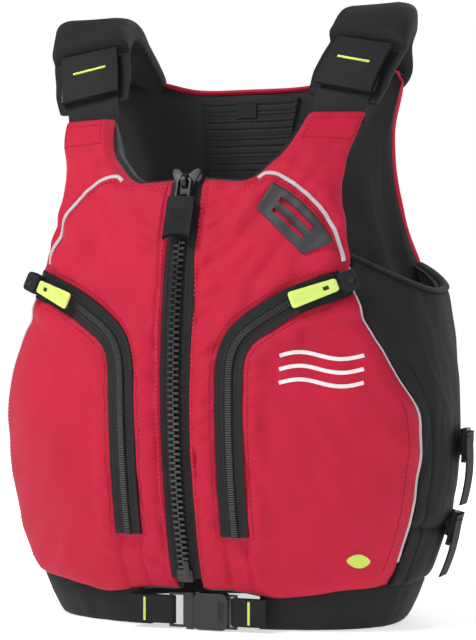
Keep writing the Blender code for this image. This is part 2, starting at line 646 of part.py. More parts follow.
def pocket(side, word):
    """Zip of a front pocket with its slider, puller, and garage with a rivet."""
    tape, coil = POCKET_TAPE_HALF, POCKET_COIL_HALF
    low, high = HAIR, HAIR + POCKET_TAPE_THICK
    crest = high + POCKET_COIL_HIGH
    profile = (
        (-tape, low), (-tape, high), (-coil, high), (-coil, crest),
        (coil, crest), (coil, high), (tape, high), (tape, low),
    )
    surface_sweep(f"pocket_zip_{word}", POCKET_PATH, profile, side, "zip_tape")
    origin, axes = pocket_frame(side)
    seat = crest - PANEL_LIFT + HAIR + 0.0012
    half = POCKET_SLIDER_HALF
    rest = seat + POCKET_SLIDER_THICK
    low, high = (-half, POCKET_SLIDER_BACK, seat), (half, POCKET_SLIDER_FRONT, rest)
    hang(block(f"pocket_slider_{word}", origin, axes, low, high, "black_plastic"), origin)
    rest += GAP
    roof = rest + PULLER_THICK
    centre = PULLER_START + PULLER_HALF_LENGTH
    outline = [(x, y + centre) for x, y in rounded(PULLER_HALF_WIDTH, PULLER_HALF_LENGTH, 0.0025)]
    puller = plate(f"pocket_puller_{word}", outline, origin, axes, rest, roof, "lime_rubber")
    hang(puller, origin + axes[1] * PULLER_HINGE + axes[2] * rest)
    roof += 0.0012
    half = GARAGE_HALF_WIDTH
    low, high = (-half, GARAGE_BACK, seat - 0.0012), (half, GARAGE_FRONT, roof + GARAGE_WALL)
    garage = block(f"pocket_garage_{word}", origin, axes, low, high, "black_fabric")
    half -= GARAGE_WALL
    low, high = (-half, GARAGE_BACK + 2 * GARAGE_WALL, seat - 0.005), (half, GARAGE_FRONT + 0.0045, roof)
    combine(garage, cutter(block("room", origin, axes, low, high, "black_fabric")), "DIFFERENCE")
    head = rounded(RIVET_RADIUS, RIVET_RADIUS, RIVET_RADIUS * 0.97, 2)
    foot = roof + GARAGE_WALL / 2
    rivet = plate("rivet", head, origin + axes[1] * RIVET_AT, axes, foot, foot + RIVET_HEIGHT, "black_plastic")
    combine(garage, rivet, "UNION")


def lash_patch():
    """Rubber patch with two through slots, on the wearer's left."""
    def point(u, v, out):
        lower_x, lower_z = PATCH_LOWER_X + u * PATCH_LOWER_RUN, PATCH_LOWER_Z - u * PATCH_LOWER_FALL
        upper_x, upper_z = PATCH_UPPER_X + u * PATCH_UPPER_RUN, along(PATCH_UPPER_Z, u)
        return on_front(lower_x + v * (upper_x - lower_x), lower_z + v * (upper_z - lower_z), out)

    low, high = HAIR, HAIR + PATCH_THICK
    patch = slab("lash_patch", point, evenly(0.0, 1.0, 7), evenly(0.0, 1.0, 4), high, low, "lash_rubber")
    for v in PATCH_SLOTS:
        span = (v - PATCH_SLOT_HALF, v + PATCH_SLOT_HALF)
        slot = slab("slot", point, evenly(*PATCH_SLOT_ENDS, 5), span, high + 0.003, low - 0.003, "lash_rubber")
        combine(patch, cutter(slot), "DIFFERENCE")


def piping(side, word):
    half, low, high = PIPING_HALF, HAIR, HAIR + PIPING_HIGH
    profile = ((-half, low), (-half * 0.6, high), (half * 0.6, high), (half, low))
    surface_sweep(f"piping_{word}", PIPING_PATH, profile, side, "piping")


def strap_frames(side, first=0, last=None):
    """Position, direction across and outward normal at each station of a stretch of a shoulder strap."""
    path = [Vector((side * x, y, z)) for x, y, z in STRAP_PATH]
    frames = []
    for i, place in enumerate(path):
        tangent = (path[min(i + 1, len(path) - 1)] - path[max(i - 1, 0)]).normalized()
        across = Vector((side, 0, 0))
        across = (across - tangent * across.dot(tangent)).normalized()
        frames.append((place, across, across.cross(tangent) * side))
    return frames[first:last]


def strap_sweep(name, frames, profile, look):
    rings = [[place + across * a + out * h for a, h in profile] for place, across, out in frames]
    return loft(name, rings, look)


def ribbon(half, low, high):
    return ((-half, low), (-half, high), (half, high), (half, low))


def shoulder(side, word):
    """Strap webbing, its adjuster slide, the padded sleeve and the cover flap."""
    half, thick = STRAP_HALF, STRAP_THICK
    strap_sweep(f"shoulder_webbing_{word}", strap_frames(side), ribbon(half, 0, thick), "webbing")
    wide = half + ADJUSTER_MARGIN
    base = thick + GAP + 0.0003
    roof = base + ADJUSTER_THICK
    place, across, out = strap_frames(side)[ADJUSTER_STATION]
    low, high = (-wide, -ADJUSTER_HALF_LENGTH, base), (wide, ADJUSTER_HALF_LENGTH, roof)
    block(f"shoulder_adjuster_{word}", place, (across, out.cross(across), out), low, high, "black_plastic")
    lid = roof + 0.0007
    flap = ribbon(wide, lid, lid + FLAP_THICK)
    strap_sweep(f"shoulder_flap_{word}", strap_frames(side, *FLAP_STATIONS), flap, "webbing")
    wide, corner = half + SLEEVE_MARGIN, SLEEVE_CORNER
    frames = strap_frames(side, *SLEEVE_STATIONS)
    outline = (
        (-wide, 0.001), (corner - wide, SLEEVE_OUT), (wide - corner, SLEEVE_OUT), (wide, 0.001),
        (wide - corner, SLEEVE_IN), (corner - wide, SLEEVE_IN),
    )
    body = strap_sweep(f"shoulder_sleeve_{word}", frames, outline, "black_fabric")
    ends = []
    for last, inner in ((frames[0], frames[1]), (frames[-1], frames[-2])):
        ends.append((last[0] + (last[0] - inner[0]).normalized() * 0.004, last[1], last[2]))
    spare = half / 18
    channel = ribbon(half + spare, -spare, thick + spare)
    room = strap_sweep("room", [ends[0]] + frames + [ends[1]], channel, "webbing")
    combine(body, cutter(room), "DIFFERENCE")


def waist_belt():
    """One soft band round the hem, open at the front where the buckle joins its ends."""
    def top(angle):
        if math.cos(angle) < 0:
            return BACK_HEM[0][1] - BELT_SEAM
        x = abs(skin(angle, BACK_HEM[0][1], 0.0).x)
        return along(FRONT_HEM, (x - FRONT_INNER_X) / (0.170 - FRONT_INNER_X)) - BELT_SEAM

    middle = 0.013
    start = angle_at(BELT_LEFT_END_X, middle)
    end = 2 * math.pi + angle_at(BELT_RIGHT_END_X, middle)
    rings = []
    for angle in evenly(start, end, 61):
        high = top(angle)
        section = ((BELT_OUT, 0.0), (BELT_OUT, high), (BELT_IN, high), (BELT_IN, 0.0))
        rings.append([skin(angle, z, out) for out, z in section])
    loft("waist_belt", rings, "black_fabric")


def buckle_middle():
    """The middle of the buckle, with its webbing just in front of the ends of the belt."""
    ends = [on_front(x, BUCKLE_Z + WEBBING_HALF, BELT_OUT).y for x in (BELT_LEFT_END_X, BELT_RIGHT_END_X)]
    return Vector((BUCKLE_X, min(ends) - WEBBING_TURN - WEBBING_THICK - CLEARANCE, BUCKLE_Z))


def belt_loop(side, end_x, bar_x, word):
    """Webbing that is sewn over the end of the belt, turns round the buckle's bar and comes back."""
    middle_y = buckle_middle().y
    path = [(end_x, middle_y - WEBBING_TURN)]
    for a in evenly(0, math.pi, 5):
        path.append((bar_x - side * math.sin(a) * WEBBING_TURN, middle_y - math.cos(a) * WEBBING_TURN))
    path.append((end_x, middle_y + WEBBING_TURN))
    low, high = Vector((0, 0, BUCKLE_Z - WEBBING_HALF)), Vector((0, 0, BUCKLE_Z + WEBBING_HALF))
    rings = []
    for i, (x, y) in enumerate(path):
        before, after = path[max(i - 1, 0)], path[min(i + 1, len(path) - 1)]
        direction = Vector((after[0] - before[0], after[1] - before[1], 0)).normalized()
        outward = Vector((direction.y, -direction.x, 0)) * WEBBING_THICK
        if outward.dot(Vector((x - bar_x - side * 0.004, y - middle_y, 0))) < 0:
            outward = -outward
        place = Vector((x, y, 0))
        rings.append([place + low, place + outward + low, place + outward + high, place + high])
    return loft(f"belt_webbing_{word}", rings, "webbing")


def buckle():
    """Side-release buckle: the receiver is on the wearer's left, the plug on the right."""
    origin = buckle_middle()
    axes = (Vector((1, 0, 0)), Vector((0, 0, 1)), Vector((0, -1, 0)))
    tall, deep, look = BUCKLE_HALF_HEIGHT, BUCKLE_HALF_DEPTH, "black_plastic"

    def bar(name, start, end, half_height, half_depth):
        return block(name, origin, axes, (start, -half_height, -half_depth), (end, half_height, half_depth), look)

    outline = [(x + RECEIVER_CENTRE, y) for x, y in rounded(RECEIVER_HALF_LENGTH, tall, RECEIVER_CORNER)]
    shell = plate("buckle_receiver", outline, origin, axes, -deep, deep, look)
    frame_start = RECEIVER_CENTRE + RECEIVER_HALF_LENGTH - 0.003
    combine(shell, bar("frame", frame_start, RECEIVER_FRAME_END, FRAME_HALF_HEIGHT, FRAME_HALF_DEPTH), "UNION")
    slot_half = WEBBING_HALF + 0.0011
    for cut in (
        bar("throat", -0.010, THROAT_END, THROAT_HALF_HEIGHT, THROAT_HALF_DEPTH),
        bar("windows", WINDOW_START, WINDOW_END, tall + 0.004, THROAT_HALF_DEPTH - 0.0004),
        bar("strap_slot", *RECEIVER_SLOT, slot_half, 0.02),
    ):
        combine(shell, cutter(cut), "DIFFERENCE")
    plug = bar("buckle_plug", PLUG_BACK, PLUG_FRONT, tall, PLUG_HALF_DEPTH)
    combine(plug, bar("guide", PLUG_FRONT - BITE, GUIDE_END, GUIDE_HALF_HEIGHT, GUIDE_HALF_DEPTH), "UNION")
    combine(plug, bar("frame", PLUG_FRAME_END, PLUG_BACK + BITE, FRAME_HALF_HEIGHT, FRAME_HALF_DEPTH), "UNION")
    combine(plug, cutter(bar("strap_slot", *PLUG_SLOT, slot_half, 0.02)), "DIFFERENCE")
    hang(plug, origin)
    for sign, word in ((1, "upper"), (-1, "lower")):
        outline = [(x, sign * y) for x, y in PRONG_OUTLINE]
        prong = plate(f"buckle_prong_{word}", outline, origin, axes, -GUIDE_HALF_DEPTH, GUIDE_HALF_DEPTH, look)
        hang(prong, origin + Vector((PRONG_ROOT, 0, sign * PRONG_HINGE_HEIGHT)))
    belt_loop(1, BELT_LEFT_END_X + BELT_LAP, BUCKLE_X + RECEIVER_BAR, "left")
    hang(belt_loop(-1, BELT_RIGHT_END_X - BELT_LAP, BUCKLE_X + PLUG_BAR, "right"), origin)


def side_adjuster(side, word, level, z, tail):
    """Ladder-lock with a strap that comes from the back panel, crosses it and hangs down as a tail."""
    half = WEBBING_HALF
    angle = side * math.radians(LOCK_DEGREES)
    place = skin(angle, z, 0.0)
    forward = Vector((0, -1, 0))
    up = (skin(angle, z + 0.015, 0.0) - skin(angle, z - 0.015, 0.0)).normalized()
    out = forward.cross(up).normalized()
    axes = (forward, up, out if out.x * side > 0 else -out)
    low, high = (LOCK_BACK, -LOCK_HALF_HEIGHT, LOCK_LOW), (LOCK_FRONT, LOCK_HALF_HEIGHT, LOCK_HIGH)
    frame = block(f"ladder_lock_{level}_{word}", place, axes, low, high, "black_plastic")
    for start, end in LOCK_SLOTS:
        low, high = (start, -LOCK_SLOT_HALF_HEIGHT, -0.01), (end, LOCK_SLOT_HALF_HEIGHT, 0.02)
        combine(frame, cutter(block("slot", place, axes, low, high, "black_plastic")), "DIFFERENCE")
    rings = []
    for degrees, rise in STRAP_RISES:
        top = rise + SIDE_STRAP_THICK
        section = ((rise, z - half), (rise, z + half), (top, z + half), (top, z - half))
        rings.append([skin(side * math.radians(degrees), h, o) for o, h in section])
    strap = loft(f"side_strap_{level}_{word}", rings, "webbing")
    rings = []
    for h in evenly(z + 0.006, z - tail, 5):
        spot = skin(side * math.radians(TAIL_DEGREES), h, 0.0)
        near, far = TAIL_RISE, TAIL_RISE + TAIL_THICK
        corners = ((-half, near), (half, near), (half, far), (-half, far))
        rings.append([Vector((spot.x + side * o, spot.y + a, h)) for a, o in corners])
    combine(strap, loft("tail", rings, "webbing"), "UNION")


def build():
    clear_scene()
    for side, word in SIDES:
        front_half(side, word)
        side_panel(side, word)
        armhole_gusset(side, word)
        pocket_panel(side, word)
        pocket(side, word)
        piping(side, word)
        shoulder(side, word)
        for level, z, tail in SIDE_STRAPS:
            side_adjuster(side, word, level, z, tail)
    back_panel()
    main_zip()
    main_slider()
    lash_patch()
    waist_belt()
    buckle()
    for obj in bpy.data.objects:
        obj.location.y += CENTRE_SHIFT_Y


build()
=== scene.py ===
"""Looks of the paddling buoyancy aid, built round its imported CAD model. Metres, +Z up, the front faces -Y."""

import math

import bmesh
import bpy
import numpy as np
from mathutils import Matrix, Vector, noise


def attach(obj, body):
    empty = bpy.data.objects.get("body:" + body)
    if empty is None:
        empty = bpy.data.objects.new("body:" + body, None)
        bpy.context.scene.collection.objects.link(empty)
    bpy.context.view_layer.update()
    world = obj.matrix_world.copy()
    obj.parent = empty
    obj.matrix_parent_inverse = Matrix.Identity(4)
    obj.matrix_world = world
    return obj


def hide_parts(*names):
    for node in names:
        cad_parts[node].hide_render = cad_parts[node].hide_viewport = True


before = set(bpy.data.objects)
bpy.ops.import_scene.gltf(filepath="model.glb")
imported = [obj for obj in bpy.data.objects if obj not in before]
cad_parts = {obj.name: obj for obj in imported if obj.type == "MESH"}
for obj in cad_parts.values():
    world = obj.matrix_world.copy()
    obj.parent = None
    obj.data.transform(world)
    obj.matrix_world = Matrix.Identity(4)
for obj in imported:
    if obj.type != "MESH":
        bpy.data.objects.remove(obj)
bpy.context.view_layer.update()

# ---------------------------------------------------------------- shape of the jacket, as the CAD has it
SHIFT_Y = -0.00738
HALF_WIDTH = ((0.0, 0.168), (0.05, 0.190), (0.10, 0.205), (0.19, 0.213), (0.28, 0.205), (0.36, 0.190),
    (0.44, 0.178), (0.56, 0.176))
BACK_DEPTH = ((0.0, 0.150), (0.10, 0.160), (0.20, 0.160), (0.32, 0.155), (0.42, 0.145), (0.50, 0.128),
    (0.56, 0.105))
SQUARENESS = 2.35
ZIP_RADIUS, ZIP_CENTRE_Y, ZIP_CENTRE_Z = 0.500, 0.356, 0.215
LEAN_FROM, LEAN = 0.400, 0.050
FRONT_INNER_X = 0.0128
FRONT_OUTER_X = (
    (0.020, 0.164), (0.050, 0.176), (0.090, 0.190), (0.130, 0.198), (0.170, 0.2005), (0.195, 0.198),
    (0.220, 0.187),
    (0.245, 0.174), (0.270, 0.160), (0.300, 0.150), (0.335, 0.144), (0.372, 0.138), (0.410, 0.1375),
    (0.455, 0.1455),
)
FRONT_HEM = ((0.0, 0.0360), (0.20, 0.0355), (0.26, 0.034), (0.45, 0.0295), (0.62, 0.0325),
    (0.80, 0.0365), (1.0, 0.0380))
FRONT_TOP = (
    (0.0, 0.3925), (0.20, 0.3905), (0.32, 0.3905), (0.42, 0.3970), (0.50, 0.4070), (0.57, 0.4165),
    (0.605, 0.4260),
    (0.630, 0.4390), (0.645, 0.4500), (0.652, 0.4520), (0.665, 0.4525), (0.70, 0.4525),
    (0.78, 0.4525), (1.0, 0.4525),
)
FRONT_THICKNESS = ((0.02, 0.026), (0.06, 0.034), (0.34, 0.036), (0.40, 0.028), (0.455, 0.014))
BACK_OUTER_X = (
    (0.020, 0.140), (0.050, 0.150), (0.100, 0.165), (0.200, 0.172), (0.280, 0.170), (0.315, 0.160),
    (0.350, 0.145),
    (0.400, 0.133), (0.450, 0.134), (0.505, 0.152),
)
BACK_HEM = ((0.0, 0.036), (0.5, 0.034), (1.0, 0.036))
BACK_TOP = ((0.0, 0.5015), (0.14, 0.5035), (0.20, 0.4990), (0.30, 0.4925), (0.5, 0.4905),
    (0.70, 0.4925), (0.80, 0.4990), (0.86, 0.5035), (1.0, 0.5015))
BACK_THICKNESS = ((0.02, 0.022), (0.06, 0.030), (0.40, 0.030), (0.505, 0.014))
SIDE_TOP = ((0.0, 0.325), (0.2, 0.308), (0.5, 0.296), (0.8, 0.306), (1.0, 0.322))
SEAM_DEPTH = 0.0085  # where the red cover of a panel meets its black inner side
POCKET_PATH = (
    (0.1480, 0.3035), (0.1390, 0.3005), (0.1270, 0.2960), (0.1150, 0.2915), (0.1030, 0.2865),
    (0.0900, 0.2790),
    (0.0780, 0.2710), (0.0680, 0.2640), (0.0595, 0.2560), (0.0535, 0.2460), (0.0505, 0.2350),
    (0.0495, 0.2230),
    (0.0492, 0.2050), (0.0490, 0.1800), (0.0490, 0.1550), (0.0490, 0.1300), (0.0490, 0.1050),
    (0.0490, 0.0840),
)
PIPING_PATH = (
    (0.0640, 0.3925), (0.0690, 0.3965), (0.0770, 0.3965), (0.0880, 0.3915), (0.1010, 0.3825),
    (0.1130, 0.3720),
    (0.1240, 0.3590), (0.1320, 0.3440), (0.1372, 0.3310), (0.1400, 0.3200),
)
STRAP_PATH = (
    (0.1232, -0.0464, 0.4562), (0.1240, -0.0432, 0.4640), (0.1265, -0.0355, 0.4780),
    (0.1300, -0.0250, 0.4960),
    (0.1340, -0.0120, 0.5140), (0.1375, 0.0030, 0.5290), (0.1395, 0.0200, 0.5385), (0.1395, 0.0380, 0.5410),
    (0.1385, 0.0560, 0.5370), (0.1360, 0.0730, 0.5270), (0.1330, 0.0860, 0.5150), (0.1310, 0.0950, 0.5045),
)
STRAP_ROUTE = (
    (0.1165, -0.0465, 0.4440), (0.1175, -0.0440, 0.4545), (0.1190, -0.0418, 0.4640),
    (0.1225, -0.0355, 0.4780),
    (0.1275, -0.0250, 0.4960),
) + STRAP_PATH[4:9] + ((0.1345, 0.0730, 0.5265), (0.1290, 0.0870, 0.5140), (0.1250, 0.0960, 0.5010),
(0.1235, 0.1010, 0.4880))
STRAP_HALF, STRAP_THICK = 0.0250, 0.0018
ZIP_BOTTOM_Z, ZIP_TOP_Z = 0.0445, 0.3915
SAG = 0.022  # how far the limp upper back hangs to one side, and how that varies from side to side
SAG_ACROSS = (
    (-0.17, 0.034), (-0.14, 0.032), (-0.10, 0.010), (-0.06, 0.015), (-0.02, SAG), (0.06, SAG),
    (0.13, 0.0), (0.17, 0.0),
)
FRONT_CLOTH, BACK_CLOTH, SIDE_CLOTH = (0.16, 0.38), (0.36, 0.46), (0.18,
    0.27)  # width and height of each panel
YOKE_Z, YOKE_DROP, YOKE_REACH = 0.392, 0.055, 0.15  # the seam across the back, lower towards the sides
FLANK_PUSH = 0.018  # how far the flank on the wearer's right is pressed in
ZIP_STITCH, NECK_STITCH = (0.0026, 0.0013, 0.0010), (0.0026, 0.0012, 0.0010)  # length, width and height
SIDES = ((1, "left"), (-1, "right"))


def along(rows, at):
    """Smooth value of a table of (position, value) rows, for a number or an array."""
    places = np.array([row[0] for row in rows])
    values = np.array([row[1] for row in rows])
    at = np.clip(np.asarray(at, float), places[0], places[-1])
    slopes = np.gradient(values, places)
    i = np.clip(np.searchsorted(places, at, side="right") - 1, 0, len(places) - 2)
    step = places[i + 1] - places[i]
    t = (at - places[i]) / step
    rise = t * t * (3 - 2 * t)
    ends = step * (t * (1 - t) ** 2 * slopes[i] - t * t * (1 - t) * slopes[i + 1])
    return (1 - rise) * values[i] + rise * values[i + 1] + ends


def skin(angle, z, out):
    """Points of the torso shell. The angle is 0 at the front and grows towards the wearer's left."""
    angle, z, out = np.broadcast_arrays(np.asarray(angle, float), np.asarray(z, float),
        np.asarray(out, float))
    lean = LEAN * (np.maximum(0.0, z - LEAN_FROM) / 0.1) ** 2
    front = -(ZIP_CENTRE_Y - np.sqrt(ZIP_RADIUS**2 - (z - ZIP_CENTRE_Z) ** 2) + lean)
    s, c = np.sin(angle), np.cos(angle)
    depth = np.where(c > 0, front, along(BACK_DEPTH, z)) + out
    width = along(HALF_WIDTH, z) + out
    power = 2 / SQUARENESS
    x = width * np.sign(s) * np.abs(s) ** power
    y = -depth * np.sign(c) * np.abs(c) ** power + SHIFT_Y
    return np.stack([x, y, z], -1)


def angle_at(x, z):
    share = np.minimum(np.abs(x) / along(HALF_WIDTH, z), 0.9999)
    return np.sign(x) * np.arcsin(share ** (SQUARENESS / 2))


def on_front(x, z, out):
    return skin(angle_at(x, z), z, out)


def smooth_step(x, low, high):
    t = np.clip((np.asarray(x, float) - low) / (high - low), 0, 1)
    return t * t * (3 - 2 * t)


def hang_aside(points):
    """The limp upper back and shoulders sag towards the wearer's right, more towards the back and the top."""
    points = np.array(points, float)
    x, y, z = points.T
    strap = smooth_step(z, 0.49, 0.53) * smooth_step(x, 0.0, 0.06)
    sag = along(SAG_ACROSS, x) * (1 - strap) + SAG * strap
    points[:, 0] -= sag * smooth_step(y, -0.03, 0.10) * smooth_step(z, 0.24, 0.42)
    return points


def arc_point(x, turn, out):
    """Points on the arc of the main zip. The turn is measured up from the level of the arc's centre."""
    reach = ZIP_RADIUS + np.asarray(out, float)
    x, turn, reach = np.broadcast_arrays(np.asarray(x, float), np.asarray(turn, float), reach)
    return np.stack([x, ZIP_CENTRE_Y + SHIFT_Y - reach * np.cos(turn),
        ZIP_CENTRE_Z + reach * np.sin(turn)], -1)


def arc_turn(z):
    return math.asin((z - ZIP_CENTRE_Z) / ZIP_RADIUS)


def arc_axes(turn, side=1):
    """Axes (across, along, outward) at a place on the arc."""
    return (side, 0, 0), (0, math.sin(turn), math.cos(turn)), (0, -math.cos(turn), math.sin(turn))


def refined(path, step):
    """Smooth curve through the points of a path, with a point about every step."""
    points = np.array(path, float)
    runs = np.concatenate([[0], np.cumsum(np.linalg.norm(np.diff(points, axis=0), axis=1))])
    count = max(2, int(runs[-1] / step) + 1)
    at = np.linspace(0, runs[-1], count)
    return np.stack([along(list(zip(runs, points[:, k])), at) for k in range(points.shape[1])], -1)


def distance_to(path, x, z):
    """Distance from points to a path of (x, z), and how far along it the nearest place lies, from 0 to 1."""
    best = np.full(np.shape(x), 1e9)
    where = np.zeros(np.shape(x))
    for i in range(len(path) - 1):
        a, b = path[i], path[i + 1]
        d = b - a
        t = np.clip(((x - a[0]) * d[0] + (z - a[1]) * d[1]) / (d @ d), 0, 1)
        gap = np.hypot(x - a[0] - t * d[0], z - a[1] - t * d[1])
        nearer = gap < best
        best = np.where(nearer, gap, best)
        where = np.where(nearer, (i + t) / (len(path) - 1), where)
    return best, where


def heading(path):
    """Unit direction along a path, at each point."""
    ahead = np.gradient(np.array(path, float), axis=0)
    return ahead / np.linalg.norm(ahead, axis=1)[:, None]


def rumple(a, b, size_a, size_b, seed):
    """Smooth noise from -1 to 1 over two coordinates, each with its own size of fold."""
    a, b = np.broadcast_arrays(np.asarray(a, float), np.asarray(b, float))
    flat = [noise.noise(Vector((p / size_a, q / size_b, seed))) for p, q in zip(a.ravel(), b.ravel())]
    return np.array(flat).reshape(a.shape)


def bell(x, centre, width):
    return np.exp(-(((x - centre) / width) ** 2))


# ---------------------------------------------------------------- materials
def new_material(name, colour, rough, metal=0.0, sheen=0.0, coat=0.0, gloss=0.5):
    made = bpy.data.materials.new(name)
    made.use_nodes = True
    shader = made.node_tree.nodes["Principled BSDF"]
    shader.inputs["Base Color"].default_value = (*colour, 1)
    shader.inputs["Roughness"].default_value = rough
    shader.inputs["Metallic"].default_value = metal
    shader.inputs["Sheen Weight"].default_value = sheen
    shader.inputs["Sheen Roughness"].default_value = 0.5
    shader.inputs["Sheen Tint"].default_value = (*[0.3 + 0.7 * c for c in colour], 1)
    shader.inputs["Specular IOR Level"].default_value = gloss
    shader.inputs["Coat Weight"].default_value = coat
    return made, made.node_tree.nodes, made.node_tree.links, shader


def coordinates(nodes, links, scale, source="UV"):
    place = nodes.new("ShaderNodeTexCoord")
    mapping = nodes.new("ShaderNodeMapping")
    mapping.inputs["Scale"].default_value = scale
    links.new(place.outputs[source], mapping.inputs["Vector"])
    return mapping.outputs["Vector"]


def wave(nodes, links, vector, direction, scale, distortion=0.0):
    made = nodes.new("ShaderNodeTexWave")
    made.bands_direction = direction
    made.inputs["Scale"].default_value = scale
    made.inputs["Distortion"].default_value = distortion
    links.new(vector, made.inputs["Vector"])
    return made.outputs["Fac"]


def speckle(nodes, links, vector, scale, detail=4.0):
    made = nodes.new("ShaderNodeTexNoise")
    made.inputs["Scale"].default_value = scale
    made.inputs["Detail"].default_value = detail
    links.new(vector, made.inputs["Vector"])
    return made.outputs["Fac"]


def maths(nodes, links, kind, a, b):
    made = nodes.new("ShaderNodeMath")
    made.operation = kind
    for socket, value in zip(made.inputs, (a, b)):
        if isinstance(value, (int, float)):
            socket.default_value = value
        else:
            links.new(value, socket)
    return made.outputs[0]


def blended(nodes, links, first, share, second, other_share):
    """Weighted sum of two values."""
    a = maths(nodes, links, "MULTIPLY", first, share)
    b = maths(nodes, links, "MULTIPLY", second, other_share)
    return maths(nodes, links, "ADD", a, b)


def tinted(nodes, links, shader, colour, factor, spread):
    """Colour that varies with a factor, from a little darker to a little lighter."""
    ramp = nodes.new("ShaderNodeValToRGB")
    ramp.color_ramp.elements[0].position = 0.3
    ramp.color_ramp.elements[1].position = 0.7
    ramp.color_ramp.elements[0].color = (*[c * (1 - spread) for c in colour], 1)
    ramp.color_ramp.elements[1].color = (*[min(1, c * (1 + spread)) for c in colour], 1)
    links.new(factor, ramp.inputs["Fac"])
    links.new(ramp.outputs["Color"], shader.inputs["Base Color"])


def bumped(nodes, links, shader, height, strength, distance):
    bump = nodes.new("ShaderNodeBump")
    bump.inputs["Strength"].default_value = strength
    bump.inputs["Distance"].default_value = distance
    links.new(height, bump.inputs["Height"])
    links.new(bump.outputs["Normal"], shader.inputs["Normal"])


def roughened(nodes, links, shader, factor, low, high):
    spread = nodes.new("ShaderNodeMapRange")
    spread.inputs["To Min"].default_value = low
    spread.inputs["To Max"].default_value = high
    links.new(factor, spread.inputs["Value"])
    links.new(spread.outputs["Result"], shader.inputs["Roughness"])


def woven(name, colour, rough, thread, sheen=0.05, crumple=0.6, spread=0.10):
    """Plain-woven cloth. The thread is its pitch in metres."""
    made, nodes, links, shader = new_material(name, colour, rough, sheen=sheen, gloss=0.16)
    vector = coordinates(nodes, links, (1, 1, 1))
    pitch = math.pi * 2 / thread / 20
    weave = maths(nodes, links, "MULTIPLY", wave(nodes, links, vector, "X", pitch),
        wave(nodes, links, vector, "Y", pitch))
    coarse = speckle(nodes, links, vector, 28.0, 6.0)
    height = blended(nodes, links, weave, 0.35, coarse, crumple)
    bumped(nodes, links, shader, height, 0.35, 0.0012)
    fine = speckle(nodes, links, vector, 420.0, 2.0)
    tone = blended(nodes, links, coarse, 0.55, fine, 0.45)
    tinted(nodes, links, shader, colour, tone, spread)
    roughened(nodes, links, shader, fine, rough - 0.07, rough + 0.07)
    return made


def ribbed(name, colour, rough, pitch_across, pitch_along, depth, sheen=0.03):
    """Webbing, tape or mesh with ribs across and fine threads along."""
    made, nodes, links, shader = new_material(name, colour, rough, sheen=sheen, gloss=0.20)
    vector = coordinates(nodes, links, (1, 1, 1))
    scale = math.pi * 2 / 20
    across = wave(nodes, links, vector, "Y", scale / pitch_along)
    threads = wave(nodes, links, vector, "X", scale / pitch_across)
    height = blended(nodes, links, across, 0.7, threads, 0.5)
    bumped(nodes, links, shader, height, 0.6, depth)
    # Colour partly painted shade: darker in the hollows between the ribs and lighter on their crowns, with
    # random speckle tone.
    tone = blended(nodes, links, height, 0.5, speckle(nodes, links, vector, 60.0), 0.4)
    tinted(nodes, links, shader, colour, tone, 0.28)
    roughened(nodes, links, shader, speckle(nodes, links, vector, 200.0), rough - 0.08, rough + 0.08)
    return made


def moulded(name, colour, rough, grain=900.0, depth=0.0002, metal=0.0, coat=0.0, spread=0.08, gloss=0.5):
    """Moulded plastic, rubber or cast metal with a fine grain and slight handling wear."""
    made, nodes, links, shader = new_material(name, colour, rough, metal=metal, coat=coat, gloss=gloss)
    vector = coordinates(nodes, links, (1, 1, 1), "Object")
    fine = speckle(nodes, links, vector, grain, 3.0)
    bumped(nodes, links, shader, fine, 0.25, depth)
    tinted(nodes, links, shader, colour, speckle(nodes, links, vector, 45.0), spread)
    roughened(nodes, links, shader, speckle(nodes, links, vector, 80.0), rough - 0.08, rough + 0.10)
    return made


